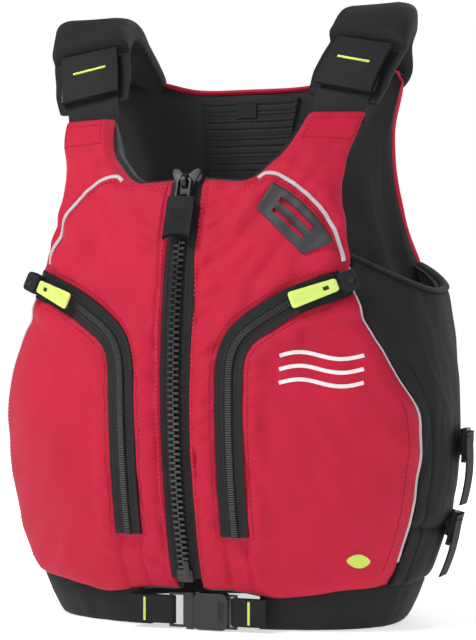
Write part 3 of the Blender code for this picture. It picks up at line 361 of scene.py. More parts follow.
RED = (0.470, 0.0125, 0.0400)
BLACK = (0.0130, 0.0133, 0.0145)
LOOKS = {
    "red_fabric": woven("red_cloth", RED, 0.66, 0.0007, sheen=0.04, crumple=0.9),
    "black_fabric": woven("black_cloth", (0.0150, 0.0152, 0.0165), 0.70, 0.0007, sheen=0.02, spread=0.2),
    "lining_satin": woven("satin_lining", (0.0165, 0.0168, 0.0182), 0.40, 0.0004, sheen=0.02, spread=0.2),
    "mesh_fabric": ribbed("ribbed_mesh", (0.022, 0.0225, 0.0245), 0.80, 0.0030, 0.0034, 0.0016),
    "webbing": ribbed("webbing_weave", BLACK, 0.68, 0.0022, 0.0016, 0.0005),
    "zip_tape": ribbed("zip_tape_weave", (0.0150, 0.0155, 0.0165), 0.66, 0.0011, 0.0009, 0.0003),
    "zip_teeth": moulded("moulded_teeth", (0.014, 0.014, 0.015), 0.26, coat=0.4),
    "zip_coil": moulded("nylon_coil", (0.034, 0.034, 0.036), 0.30, coat=0.3),
    "black_plastic": moulded("black_acetal", (0.013, 0.013, 0.0145), 0.36),
    "zip_metal": moulded("bright_metal", (0.042, 0.043, 0.045), 0.50, 700.0, 0.0001, metal=1.0),
    "lime_rubber": moulded("lime_rubber", (0.60, 0.76, 0.16), 0.50, spread=0.04),
    "lime_thread": ribbed("lime_thread", (0.60, 0.82, 0.14), 0.60, 0.0012, 0.0008, 0.0004),
    "piping": woven("reflective_trim", (0.50, 0.47, 0.49), 0.38, 0.0006, spread=0.05),
    "lash_rubber": moulded("grey_rubber", (0.024, 0.026, 0.029), 0.62, 1300.0, 0.0003),
    "tab_rubber": moulded("soft_black_rubber", (0.0075, 0.0075, 0.0080), 0.60, 1300.0, 0.0003, gloss=0.15),
    "thread_red": woven("red_thread", (0.66, 0.030, 0.075), 0.55, 0.0004),
    "thread_dark": woven("dark_thread", (0.16, 0.006, 0.014), 0.60, 0.0004),
    "thread_grey": woven("grey_thread", (0.060, 0.060, 0.062), 0.55, 0.0004),
    "foam": moulded("buoyancy_foam", (0.42, 0.44, 0.46), 0.85, 1500.0, 0.0004),
    "label": woven("label_cloth", (0.020, 0.020, 0.022), 0.70, 0.0003),
    "mark_white": woven("white_print", (0.78, 0.76, 0.77), 0.55, 0.0007, spread=0.03),
    "mark_lime": woven("lime_print", (0.56, 0.72, 0.13), 0.55, 0.0007, spread=0.03),
}


def in_plastic(*names):
    """CAD nodes that are shown as they are, in black plastic."""
    for name in names:
        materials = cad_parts[name].data.materials
        materials.clear()
        materials.append(LOOKS["black_plastic"])


# ---------------------------------------------------------------- mesh tools
def piece(name, points, faces, look, uvs=None, body="jacket", smooth=True, nodes=(), bevel=0.0):
    """Mesh object on a CAD body, with its faces turned out. uvs are places on the cloth, in metres."""
    mesh = bpy.data.meshes.new(name)
    mesh.from_pydata(hang_aside(points).tolist(), [], [tuple(f) for f in faces])
    if uvs is not None:
        layer = mesh.uv_layers.new(name="UVMap")
        flat = np.array(uvs, np.float32)[[loop.vertex_index for loop in mesh.loops]]
        layer.data.foreach_set("uv", flat.ravel())
    work = bmesh.new()
    work.from_mesh(mesh)
    bmesh.ops.recalc_face_normals(work, faces=work.faces)
    if bevel:
        edges = [e for e in work.edges if len(e.link_faces) == 2 and e.calc_face_angle(0) > 0.6]
        bmesh.ops.bevel(work, geom=edges, offset=bevel, segments=3, profile=0.5, affect="EDGES",
            clamp_overlap=True)
    work.to_mesh(mesh)
    work.free()
    if smooth:
        mesh.shade_smooth()
        mesh.set_sharp_from_angle(angle=math.radians(42))
    mesh.materials.append(LOOKS[look])
    obj = bpy.data.objects.new(name, mesh)
    bpy.context.collection.objects.link(obj)
    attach(obj, body)
    if nodes:
        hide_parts(*nodes)
    return obj


def grid_faces(rows, columns, start, flip=False):
    index = np.arange(rows * columns).reshape(rows, columns) + start
    quads = np.stack([index[:-1, :-1], index[:-1, 1:], index[1:, 1:], index[1:, :-1]], -1).reshape(-1, 4)
    return [tuple(q) for q in (quads[:, ::-1] if flip else quads).tolist()]


def rim_of(rows, columns, start):
    index = np.arange(rows * columns).reshape(rows, columns) + start
    ring = list(index[0]) + list(index[1:, -1]) + list(index[-1, -2::-1]) + list(index[-2:0:-1, 0])
    return [int(i) for i in ring]


def bridge(first, second):
    count = len(first)
    return [(first[i], first[(i + 1) % count], second[(i + 1) % count], second[i]) for i in range(count)]


def pillow(name, point, us, vs, out, inner, look, bulge=0.0, uv_scale=(1, 1), **facts):
    """Closed padded sheet between two depths, each an array over the grid. Its side walls can bulge."""
    u, v = np.meshgrid(us, vs)
    rows, columns = u.shape
    top = point(u, v, out)
    bed = point(u, v, inner)
    points = [top.reshape(-1, 3)]
    uv = np.stack([u * uv_scale[0], v * uv_scale[1]], -1).reshape(-1, 2)
    uvs = [uv]
    rims = [rim_of(rows, columns, 0)]
    faces = grid_faces(rows, columns, 0)
    count = rows * columns
    if bulge:
        ring = rims[0]
        centre = top.reshape(-1, 3).mean(0)
        for share in (0.12, 0.35, 0.65, 0.88):
            between = top.reshape(-1, 3)[ring] * (1 - share) + bed.reshape(-1, 3)[ring] * share
            away = between - np.roll(between, 2, 0)
            away = np.cross(away, top.reshape(-1, 3)[ring] - bed.reshape(-1, 3)[ring])
            away /= np.linalg.norm(away, axis=1)[:, None] + 1e-12
            sign = np.sign(((between - centre) * away).sum(1).mean())
            between = between + sign * away * bulge * math.sin(math.pi * share)
            points.append(between)
            uvs.append(uv[ring] + 0.01 * share)
            rims.append(list(range(count, count + len(ring))))
            count += len(ring)
    points.append(bed.reshape(-1, 3))
    uvs.append(uv)
    rims.append(rim_of(rows, columns, count))
    faces += grid_faces(rows, columns, count, True)
    for first, second in zip(rims, rims[1:]):
        faces += bridge(first, second)
    return piece(name, np.concatenate(points), faces, look, np.concatenate(uvs), **facts)


def loft(name, rings, look, closed=False, **facts):
    """Solid through rings of points. The cloth runs along the rings' order."""
    rings = np.array(rings, float)
    count, size = rings.shape[:2]
    faces = []
    for k in range(count if closed else count - 1):
        a, b = k * size, ((k + 1) % count) * size
        faces += bridge(list(range(a, a + size)), list(range(b, b + size)))
    if not closed:
        faces += [tuple(range(size - 1, -1, -1)), tuple(range((count - 1) * size, count * size))]
    middles = rings.mean(1)
    run = np.concatenate([[0], np.cumsum(np.linalg.norm(np.diff(middles, axis=0), axis=1))])
    girth = np.concatenate([[0], np.cumsum(np.linalg.norm(np.diff(rings[0], axis=0), axis=1))])
    uvs = [(g, r) for r in run for g in girth]
    return piece(name, rings.reshape(-1, 3), faces, look, uvs, **facts)


def across_path(path):
    """Unit direction across a path of (x, z), at each point."""
    ahead = heading(path)
    return np.stack([-ahead[:, 1], ahead[:, 0]], -1)


def offset(path, by):
    """The path moved sideways."""
    return [(x + nx * by, z + nz * by) for (x, z), (nx, nz) in zip(path, across_path(path))]


def ribbon_rings(path, profile, side, lift=0.0):
    """Rings of a closed profile of (across, out) swept along a path of (x, z) on the front."""
    path = np.array(path, float)
    normal = across_path(path)
    rings = []
    for (x, z), (nx, nz) in zip(path, normal):
        across = np.array([a for a, _ in profile])
        outs = np.array([o for _, o in profile]) + lift
        rings.append(on_front(side * (x + across * nx), z + across * nz, outs))
    return rings


def plate_points(outline, origin, axes, low, high):
    first, second, third = [np.array(a, float) for a in axes]
    outline = np.array(outline, float)
    base = np.array(origin, float) + outline[:, :1] * first + outline[:, 1:] * second
    return [base + third * low, base + third * high]


def plate(name, outline, origin, axes, low, high, look, bevel=0.0004, **facts):
    return loft(name, plate_points(outline, origin, axes, low, high), look, bevel=bevel, **facts)


def framed_plate(name, outer, inner, origin, axes, low, high, look, bevel=0.0003, **facts):
    """Plate with one hole: both outlines have the same number of points."""
    a, b = plate_points(outer, origin, axes, low, high)
    c, d = plate_points(inner, origin, axes, low, high)
    count = len(outer)
    rims = [list(range(k * count, (k + 1) * count)) for k in range(4)]
    faces = []
    for first, second in ((0, 1), (1, 3), (3, 2), (2, 0)):
        faces += bridge(rims[first], rims[second])
    points = np.concatenate([a, b, c, d])
    return piece(name, points, faces, look, points[:, [0, 2]], bevel=bevel, **facts)


def rounded(half_x, half_y, corner, steps=4, shift=(0.0, 0.0)):
    outline = []
    for quarter in range(4):
        cx = (half_x - corner) * (1 if quarter in (0, 3) else -1)
        cy = (half_y - corner) * (1 if quarter in (0, 1) else -1)
        for k in range(steps + 1):
            turn = math.pi / 2 * (quarter + k / steps)
            outline.append((cx + corner * math.cos(turn) + shift[0],
                cy + corner * math.sin(turn) + shift[1]))
    return outline


def many(name, template, places, look, **facts):
    """One mesh of many copies of a small closed shape. Each place is an origin and three axes."""
    shape, faces = template
    shape = np.array(shape, float)
    points, found = [], []
    for k, (origin, axes) in enumerate(places):
        points.append(np.array(origin, float) + shape @ np.array(axes, float))
        found += [tuple(i + k * len(shape) for i in face) for face in faces]
    points = np.concatenate(points)
    return piece(name, points, found, look, points[:, [0, 2]], **facts)


def capsule(length, width, height):
    """Low rounded stitch lying along the second axis."""
    points = [(0, -length / 2, 0), (0, length / 2, 0)]
    for y in (-length * 0.3, length * 0.3):
        for k in range(6):
            turn = math.pi * 2 * k / 6
            points.append((width / 2 * math.cos(turn), y, height / 2 * math.sin(turn)))
    faces = []
    for k in range(6):
        n = (k + 1) % 6
        faces += [(0, 2 + n, 2 + k), (1, 8 + k, 8 + n), (2 + k, 2 + n, 8 + n, 8 + k)]
    return points, faces


def lump(half_x, half_y, half_z, corner):
    """Rounded block as a template for teeth and coils."""
    outline = rounded(half_x, half_y, corner, 2)
    rings = [(0.86, -half_z), (1.0, -half_z * 0.6), (1.0, half_z * 0.55), (0.84, half_z)]
    count = len(outline)
    points = [(x * s, y * s, z) for s, z in rings for x, y in outline]
    faces = [tuple(range(count - 1, -1, -1)), tuple(range(3 * count, 4 * count))]
    for k in range(3):
        faces += bridge(list(range(k * count, (k + 1) * count)),
            list(range((k + 1) * count, (k + 2) * count)))
    return points, faces


def front_frame(x, z, out, direction, side):
    """Origin and axes (across, along, outward) on the front, for a direction given in x and z."""
    step = 0.0008
    here = on_front(side * x, z, out)
    ahead = on_front(side * (x + direction[0] * step), z + direction[1] * step, out) - here
    ahead /= np.linalg.norm(ahead)
    beside = on_front(side * (x - direction[1] * step), z + direction[0] * step, out) - here
    beside -= ahead * (beside @ ahead)
    beside /= np.linalg.norm(beside)
    outward = np.cross(beside, ahead)
    outward = outward if outward[1] < 0 else -outward
    return here, (beside, ahead, outward)


def stitches(name, path, side, lift, look="thread_dark", pitch=0.0036, size=(0.0024, 0.0008, 0.0006),
        shape_of=None):
    """Row of stitches along a path of (x, z) on the front. shape_of gives the cloth's height there."""
    path = refined(path, pitch)
    ahead = heading(path)
    heights = shape_of(path[:, 0], path[:, 1]) if shape_of else np.zeros(len(path))
    places = [front_frame(x, z, h + lift, d, side) for (x, z), d, h in zip(path, ahead, heights)]
    return many(name, capsule(*size), places, look)


# ---------------------------------------------------------------- front halves
ZIP_ROUTE = refined(POCKET_PATH, 0.004)
PIPING_ROUTE = refined(PIPING_PATH, 0.004)
BAND_HALF = 0.0120


def front_place(u, v):
    low, high = along(FRONT_HEM, u), along(FRONT_TOP, u)
    z = low + v * (high - low)
    return FRONT_INNER_X + u * (along(FRONT_OUTER_X, z) - FRONT_INNER_X), z


def panel_relief(x, z, side):
    """Height of the red cover above the plain shell, for x measured from the zip outwards."""
    seed = 3.1 if side > 0 else 8.7
    to_zip, place = distance_to(ZIP_ROUTE, x, z)
    to_trim, _ = distance_to(PIPING_ROUTE, x, z)
    height = 0.0036 * rumple(x, z, 0.055, 0.080, seed) + 0.0020 * rumple(x + 0.6 * z, z - 0.5 * x,
        0.020, 0.050, seed + 1)
    trough = np.clip(1 - to_zip / (BAND_HALF + 0.002), 0, 1) ** 0.5
    height = height * (1 - trough) - 0.0016 * trough
    height = height + 0.0030 * bell(to_zip, BAND_HALF + 0.010, 0.008) * (to_zip > BAND_HALF)
    height = height - 0.0022 * bell(to_trim, 0.0, 0.0035) + 0.0014 * bell(to_trim, 0.010, 0.006)
    pucker = rumple(x, z - 0.45 * x, 0.030, 0.0100, seed + 2)
    near_seams = bell(x, 0.026, 0.014) + 0.8 * bell(to_zip, BAND_HALF + 0.008, 0.011) * (z < 0.25)
    height = height + 0.0042 * pucker * np.clip(near_seams, 0, 1) * (x > 0.018) * smooth_step(to_zip,
        BAND_HALF, BAND_HALF + 0.005)
    drag = rumple(x * 0.8 - z * 0.6, x * 0.6 + z * 0.8, 0.012, 0.060, seed + 6)
    height = height + 0.0036 * drag * smooth_step(z, 0.22, 0.30) * smooth_step(x, 0.03, 0.06)
    below = np.clip((0.086 - z) / 0.012, 0, 1)
    for line in (0.0395, 0.0590):
        height = height - 0.0024 * bell(x, line, 0.0022) * below
    height = height - 0.0016 * bell(x, 0.0185, 0.0012)
    hem_fold = np.clip((0.075 - z) / 0.035, 0, 1)
    height = height + 0.0020 * rumple(x, z, 0.020, 0.060, seed + 4) * hem_fold
    return height


def rounding(near, reach, drop):
    t = np.clip(near / reach, 0, 1)
    return drop * (1 - np.sqrt(1 - (1 - t) ** 2))


def cover_height(x, z, side):
    """Height of the red cover with its edges rounded down."""
    outer = along(FRONT_OUTER_X, z)
    u = (x - FRONT_INNER_X) / (outer - FRONT_INNER_X)
    low, high = along(FRONT_HEM, u), along(FRONT_TOP, u)
    flat = 1 - 0.85 * smooth_step(z, 0.405, 0.430)
    height = panel_relief(x, z, side) * (0.25 + 0.75 * flat)
    height = height - rounding(x - FRONT_INNER_X, 0.010, 0.0058) - rounding(outer - x,
        0.004 + 0.016 * flat, 0.0020 + 0.0055 * flat)
    height = height - rounding(z - low, 0.018, 0.0075)
    return height - rounding(high - z, 0.003 + 0.007 * flat, 0.0015 + 0.0035 * flat)


def front_half(side, word):
    def point(u, v, out):
        x, z = front_place(u, v)
        return on_front(side * x, z, out)

    edge = np.array([0, 0.004, 0.010, 0.018, 0.028])
    us = np.concatenate([edge, np.linspace(0.040, 0.960, 105), 1 - edge[::-1]])
    vs = np.concatenate([edge * 0.6, np.linspace(0.022, 0.978, 190), 1 - edge[::-1] * 0.6])
    u, v = np.meshgrid(us, vs)
    x, z = front_place(u, v)
    out = cover_height(x, z, side)
    cover = pillow(f"cover_front_{word}", point, us, vs, out, np.full(u.shape, -SEAM_DEPTH - 0.002),
        "red_fabric", uv_scale=FRONT_CLOTH, nodes=(f"front_cover_{word}", f"pocket_panel_{word}"))
    us, vs = np.linspace(0, 1, 50), np.linspace(0, 1, 90)
    u, v = np.meshgrid(us, vs)
    x, z = front_place(u, v)
    depth = along(FRONT_THICKNESS, z)
    inner = -depth - 0.001 + 0.0020 * rumple(x, z, 0.05, 0.06, 5.5 + side)
    inner = inner + rounding(np.minimum(u, 1 - u) * 0.15, 0.016, 0.006)
    inner = inner + rounding(np.minimum(v, 1 - v) * 0.37, 0.016, 0.006)
    pad = pillow(f"pad_front_{word}", point, us, vs, np.full(u.shape, -SEAM_DEPTH - 0.0022), inner,
        "lining_satin", bulge=0.0025, uv_scale=FRONT_CLOTH,
        nodes=(f"front_foam_{word}", f"front_lining_{word}", f"armhole_gusset_{word}"))


def front_seams(side, word):
    """Topstitching and piping on one front half."""
    def height(x, z):
        return cover_height(x, z, side)

    low, high = 0.050, 0.384
    edge = [(0.0158, low), (0.0158, 0.2), (0.0158, high)]
    stitches(f"stitch_zip_edge_{word}", edge, side, 0.0004, "thread_red", 0.0040, ZIP_STITCH, height)
    neck = [(0.020, 0.3862), (0.045, 0.3846), (0.060, 0.3862)]
    stitches(f"stitch_neck_{word}", neck, side, 0.0004, "thread_red", 0.0040, NECK_STITCH, height)
    beside = BAND_HALF + 0.0042
    for tag, by in (("outer", beside), ("inner", -beside)):
        stitches(f"stitch_pocket_{tag}_{word}", offset(ZIP_ROUTE, by)[6:], side, 0.0002, shape_of=height)
    trim = offset(PIPING_ROUTE, -0.0055)
    stitches(f"stitch_yoke_{word}", trim[:-3], side, 0.0002, shape_of=height)
    box = [(0.1010, 0.4470), (0.1400, 0.4470), (0.1360, 0.4270), (0.0960, 0.4290), (0.1010, 0.4470)]
    for k in range(4):
        stitches(f"stitch_tab_{k}_{word}", [box[k], box[k + 1]], side, 0.0002, shape_of=height)
    edge_z = np.linspace(0.055, 0.200, 12)
    stitches(f"stitch_edge_{word}", [(float(along(FRONT_OUTER_X, h)) - 0.011, h) for h in edge_z],
        side, 0.0002, shape_of=height)
    route = refined(PIPING_PATH, 0.0025)
    normal = across_path(route)
    rings = []
    for (x, z), (nx, nz) in zip(route, normal):
        base = float(height(x, z))
        ring = []
        for k in range(8):
            turn = math.pi * 2 * k / 8
            ring.append(on_front(side * (x + 0.0017 * math.cos(turn) * nx),
                z + 0.0017 * math.cos(turn) * nz, base + 0.0011 + 0.0012 * math.sin(turn)))
        rings.append(ring)
    loft(f"piping_trim_{word}", rings, "piping", nodes=(f"piping_{word}",))
    rings = []
    for z in np.linspace(0.315, 0.060, 90):
        x = float(along(FRONT_OUTER_X, z)) - 0.0012
        base = float(height(x, z))
        turns = np.linspace(0, 2 * math.pi, 8, endpoint=False)
        rings.append([on_front(side * (x + 0.0008 * math.cos(a)), z,
            base + 0.0004 + 0.0009 * math.sin(a)) for a in turns])
    loft(f"piping_edge_{word}", rings, "piping")


def pocket_zip(side, word):
    """Curved tape with a coil, its slider, puller and garage."""
    route = refined(POCKET_PATH, 0.003)
    normal = across_path(route)
    rings = []
    shares = (-1.0, -0.93, -0.5, -0.26, 0.26, 0.5, 0.93, 1.0)
    for (x, z), (nx, nz) in zip(route, normal):
        across = np.array(shares) * BAND_HALF
        base = cover_height(x, z, side)
        edge = 0.0012 * np.abs(np.array(shares)) ** 3
        upper = on_front(side * (x + across * nx), z + across * nz, base + 0.0022 + edge)
        lower = on_front(side * (x + across * nx), z + across * nz, base - 0.0005)
        rings.append(np.concatenate([upper, lower[::-1]]))
    loft(f"pocket_tape_{word}", rings, "zip_tape", nodes=(f"pocket_zip_{word}",))
    teeth = refined(POCKET_PATH, 0.0020)[7:]
    ahead = heading(teeth)
    base = cover_height(teeth[:, 0], teeth[:, 1], side)
    places = [front_frame(x, z, h + 0.0034, d, side) for (x, z), d, h in zip(teeth, ahead, base)]
    many(f"pocket_coil_{word}", lump(0.0031, 0.00066, 0.0014, 0.0005), places, "zip_coil")
    for tag, by in (("inner", -0.0050), ("outer", 0.0050), ("inner_edge", -0.0096), ("outer_edge", 0.0096)):
        line = offset(route, by)
        middle = cover_height(np.array([a for a, _ in route]), np.array([b for _, b in route]), side)

        def level(x, z):
            return np.interp(np.linspace(0, 1, len(x)), np.linspace(0, 1, len(middle) - 2), middle[2:])

        stitches(f"stitch_tape_{tag}_{word}", line[2:], side, 0.0026, "thread_grey", 0.0031,
            (0.0023, 0.0007, 0.0007), level)
    node = "pocket_slider_" + word
    first = on_front(side * POCKET_PATH[1][0], POCKET_PATH[1][1], 0.0022)
    second = on_front(side * POCKET_PATH[4][0], POCKET_PATH[4][1], 0.0022)
    forward = (second - first) / np.linalg.norm(second - first)
    up = on_front(side * POCKET_PATH[1][0], POCKET_PATH[1][1] + 0.01, 0.0022) - first
    up -= forward * (up @ forward)
    up /= np.linalg.norm(up)
    out = np.cross(up, forward)
    out = out if out[1] < 0 else -out
    axes = (up, forward, out)
    seat = 0.0034
    plate(f"pocket_slider_body_{word}", rounded(0.0042, 0.0050, 0.0016, shift=(0, 0.0005)), first,
        axes, seat, seat + 0.0016, "black_plastic", body=node, nodes=(node,))
    tag = f"pocket_puller_{word}"
    rest = seat + 0.0020
    outer = [(x * (0.84 + 7.0 * (y - 0.005)), y)
        for x, y in rounded(0.0065, 0.0215, 0.0026, shift=(0, 0.0265))]
    hole = rounded(0.0017, 0.0026, 0.0006, shift=(0.0, 0.0155))
    framed_plate(f"puller_{word}", outer, hole, first, axes, rest, rest + 0.0024, "lime_rubber",
        bevel=0.0005, body=tag, nodes=(tag,))
    plate(f"puller_insert_{word}", rounded(0.0016, 0.0025, 0.0005, shift=(0.0, 0.0155)), first, axes,
        rest + 0.0003, rest + 0.0018, "black_plastic", body=tag)
    grip = [(np.array(first) + forward * s + out * (rest + 0.0024), (up, forward, out))
        for s in np.linspace(0.030, 0.045, 8)]
    many(f"puller_grip_{word}", lump(0.0042, 0.0005, 0.0004, 0.0004), grip, "lime_rubber", body=tag)
    roof = rest + 0.0028
    hood = rounded(0.0088, 0.0080, 0.0030, shift=(0.0, -0.0050))

    def drawn_in(outline, middle, share, height):
        """The outline shrunk about its middle, at one height."""
        shrunk = [(x * share, middle + (y - middle) * share) for x, y in outline]
        return plate_points(shrunk, first, axes, height, height)[0]

    layers = ((1.0, seat + 0.002), (0.97, roof - 0.0006), (0.88, roof + 0.0006), (0.6, roof + 0.0010))
    rings = [drawn_in(hood, -0.0050, 1.0, seat - 0.003)]
    rings += [drawn_in(hood, -0.0050, share, height) for share, height in layers]
    loft(f"garage_hood_{word}", rings, "black_fabric", nodes=(f"pocket_garage_{word}",))
    disc = [(0.0034 * math.cos(a), -0.0060 + 0.0034 * math.sin(a))
        for a in np.linspace(0, math.pi * 2, 20, endpoint=False)]
    layers = ((1.0, 0.0004), (1.0, 0.0014), (0.85, 0.0020), (0.45, 0.0021), (0.40, 0.0012))
    dome = [drawn_in(disc, -0.0060, share, roof + height) for share, height in layers]
    loft(f"garage_rivet_{word}", dome, "black_plastic")


# ---------------------------------------------------------------- main zip
def main_zip():
    stations = np.linspace(arc_turn(ZIP_BOTTOM_Z), arc_turn(ZIP_TOP_Z), 120)
    for side, word in SIDES:
        profile = ((0.0012, -0.0042), (0.0012, -0.0022), (0.0060, -0.0022), (0.0130, -0.0026),
            (0.0160, -0.0046), (0.0160, -0.0062), (0.0120, -0.0042))
        rings = [[arc_point(side * x, turn, out) for x, out in profile] for turn in stations]
        loft(f"zip_tape_{word}", rings, "zip_tape", nodes=(f"main_zip_{word}",))
        pitch = 0.0052 / ZIP_RADIUS
        offset = 0.0 if side > 0 else pitch / 2
        turns = np.arange(arc_turn(ZIP_BOTTOM_Z) + offset, arc_turn(0.378), pitch)
        places = []
        for turn in turns:
            axes = arc_axes(turn, side)
            places.append((arc_point(side * 0.0022, turn, -0.0004), axes))
        many(f"zip_teeth_{word}", lump(0.0034, 0.00125, 0.0021, 0.0007), places, "zip_teeth")
        line = np.linspace(arc_turn(0.055), arc_turn(0.372), 105)
        places = [(arc_point(side * 0.0094, t, -0.0018), arc_axes(t)) for t in line]
        many(f"stitch_zip_tape_{word}", capsule(0.0022, 0.0007, 0.0006), places, "zip_tape")
    foot = arc_turn(0.0485)
    axes = arc_axes(foot)
    plate("zip_bottom_box", rounded(0.0072, 0.0060, 0.0018), arc_point(0, foot, 0), axes, -0.0050,
        0.0016, "black_plastic", bevel=0.0007)
    plate("zip_bottom_pin", rounded(0.0022, 0.0085, 0.0010, shift=(0.0030, 0.0060)),
        arc_point(0, foot, 0), axes, 0.0008, 0.0026, "black_plastic", bevel=0.0004)


def main_slider():
    turn = arc_turn(0.3890)
    origin = arc_point(0, turn, 0)
    axes = arc_axes(turn)
    over, plate_thick = 0.0020, 0.0018
    half = 0.0125
    wings = (
        (-0.0070, -half), (0.0070, -half), (0.0080, -0.004), (0.0104, 0.002), (0.0130, 0.007),
        (0.0132, half - 0.002), (0.0110, half), (0.0070, half - 0.0012), (0.0034, half - 0.0046),
        (0.0, half - 0.0060), (-0.0034, half - 0.0046), (-0.0070, half - 0.0012), (-0.0110, half),
        (-0.0132, half - 0.002), (-0.0130, 0.007), (-0.0104, 0.002), (-0.0080, -0.004),
    )
    plate("slider_front", wings, origin, axes, over, over + plate_thick, "zip_metal", bevel=0.0006,
        body="main_slider", nodes=("main_slider",))
    plate("slider_back", [(x * 0.82, y) for x, y in wings], origin, axes, -0.0086, -0.0068,
        "zip_metal", body="main_slider")
    plate("slider_bridge", rounded(0.0013, 0.0034, 0.0006, shift=(0, 0.0032)), origin, axes, -0.0070,
        over + 0.0002, "zip_metal", bevel=0.0002, body="main_slider")
    seat = over + plate_thick
    arch = []
    for a in np.linspace(0, math.pi, 13):
        spot = np.array(origin) + np.array(axes[1]) * (0.0058 * math.cos(a)) + np.array(axes[2]) * (
            seat - 0.0006 + 0.0056 * math.sin(a))
        inward = np.array(axes[1]) * math.cos(a) + np.array(axes[2]) * math.sin(a)
        arch.append([spot + np.array(axes[0]) * x * 0.0024 + inward * o * 0.0009
            for x, o in ((-1, -1), (-1, 0.6), (-0.6, 1), (0.6, 1), (1, 0.6), (1, -1))])
    loft("slider_bail", arch, "zip_metal", body="main_slider")
    bar_low, bar_high = seat + 0.0008, seat + 0.0030
    framed_plate("pull_loop", rounded(0.0072, 0.0115, 0.0024, shift=(0, -0.0093)),
        rounded(0.0046, 0.0092, 0.0016, shift=(0, -0.0093)), origin, axes, bar_low, bar_high,
        "zip_metal", bevel=0.0007, body="main_pull", nodes=("main_pull",))
    wide = 0.0124
    outline = [(-wide, -0.0165), (-wide + 0.0006, -0.0158), (wide - 0.0006, -0.0158), (wide, -0.0165),
        (wide + 0.0002, -0.0555)]
    outline += [(wide * math.cos(a), -0.0555 + 0.0045 * math.sin(a))
        for a in np.linspace(0.25, math.pi - 0.25, 9)]
    outline += [(-wide - 0.0002, -0.0555)]
    plate("pull_tab", outline, origin, axes, seat + 0.0001, seat + 0.0046, "tab_rubber", bevel=0.0009,
        body="main_pull", nodes=("main_pull_tab",))
    ridges = [(np.array(origin) + np.array(axes[1]) * y + np.array(axes[2]) * (seat + 0.0046), axes)
        for y in np.linspace(-0.047, -0.027, 9)]
    many("pull_tab_grip", lump(0.0084, 0.0006, 0.0003, 0.0005), ridges, "tab_rubber", body="main_pull")


# ---------------------------------------------------------------- back, sides and trims
def back_place(u, v):
    low, high = along(BACK_HEM, u), along(BACK_TOP, u)
    z = low + v * (high - low)
    edge = angle_at(along(BACK_OUTER_X, z), z)
    return math.pi + (2 * u - 1) * edge, z


def yoke_at(across):
    return YOKE_Z - YOKE_DROP * np.abs(across / YOKE_REACH) ** 2


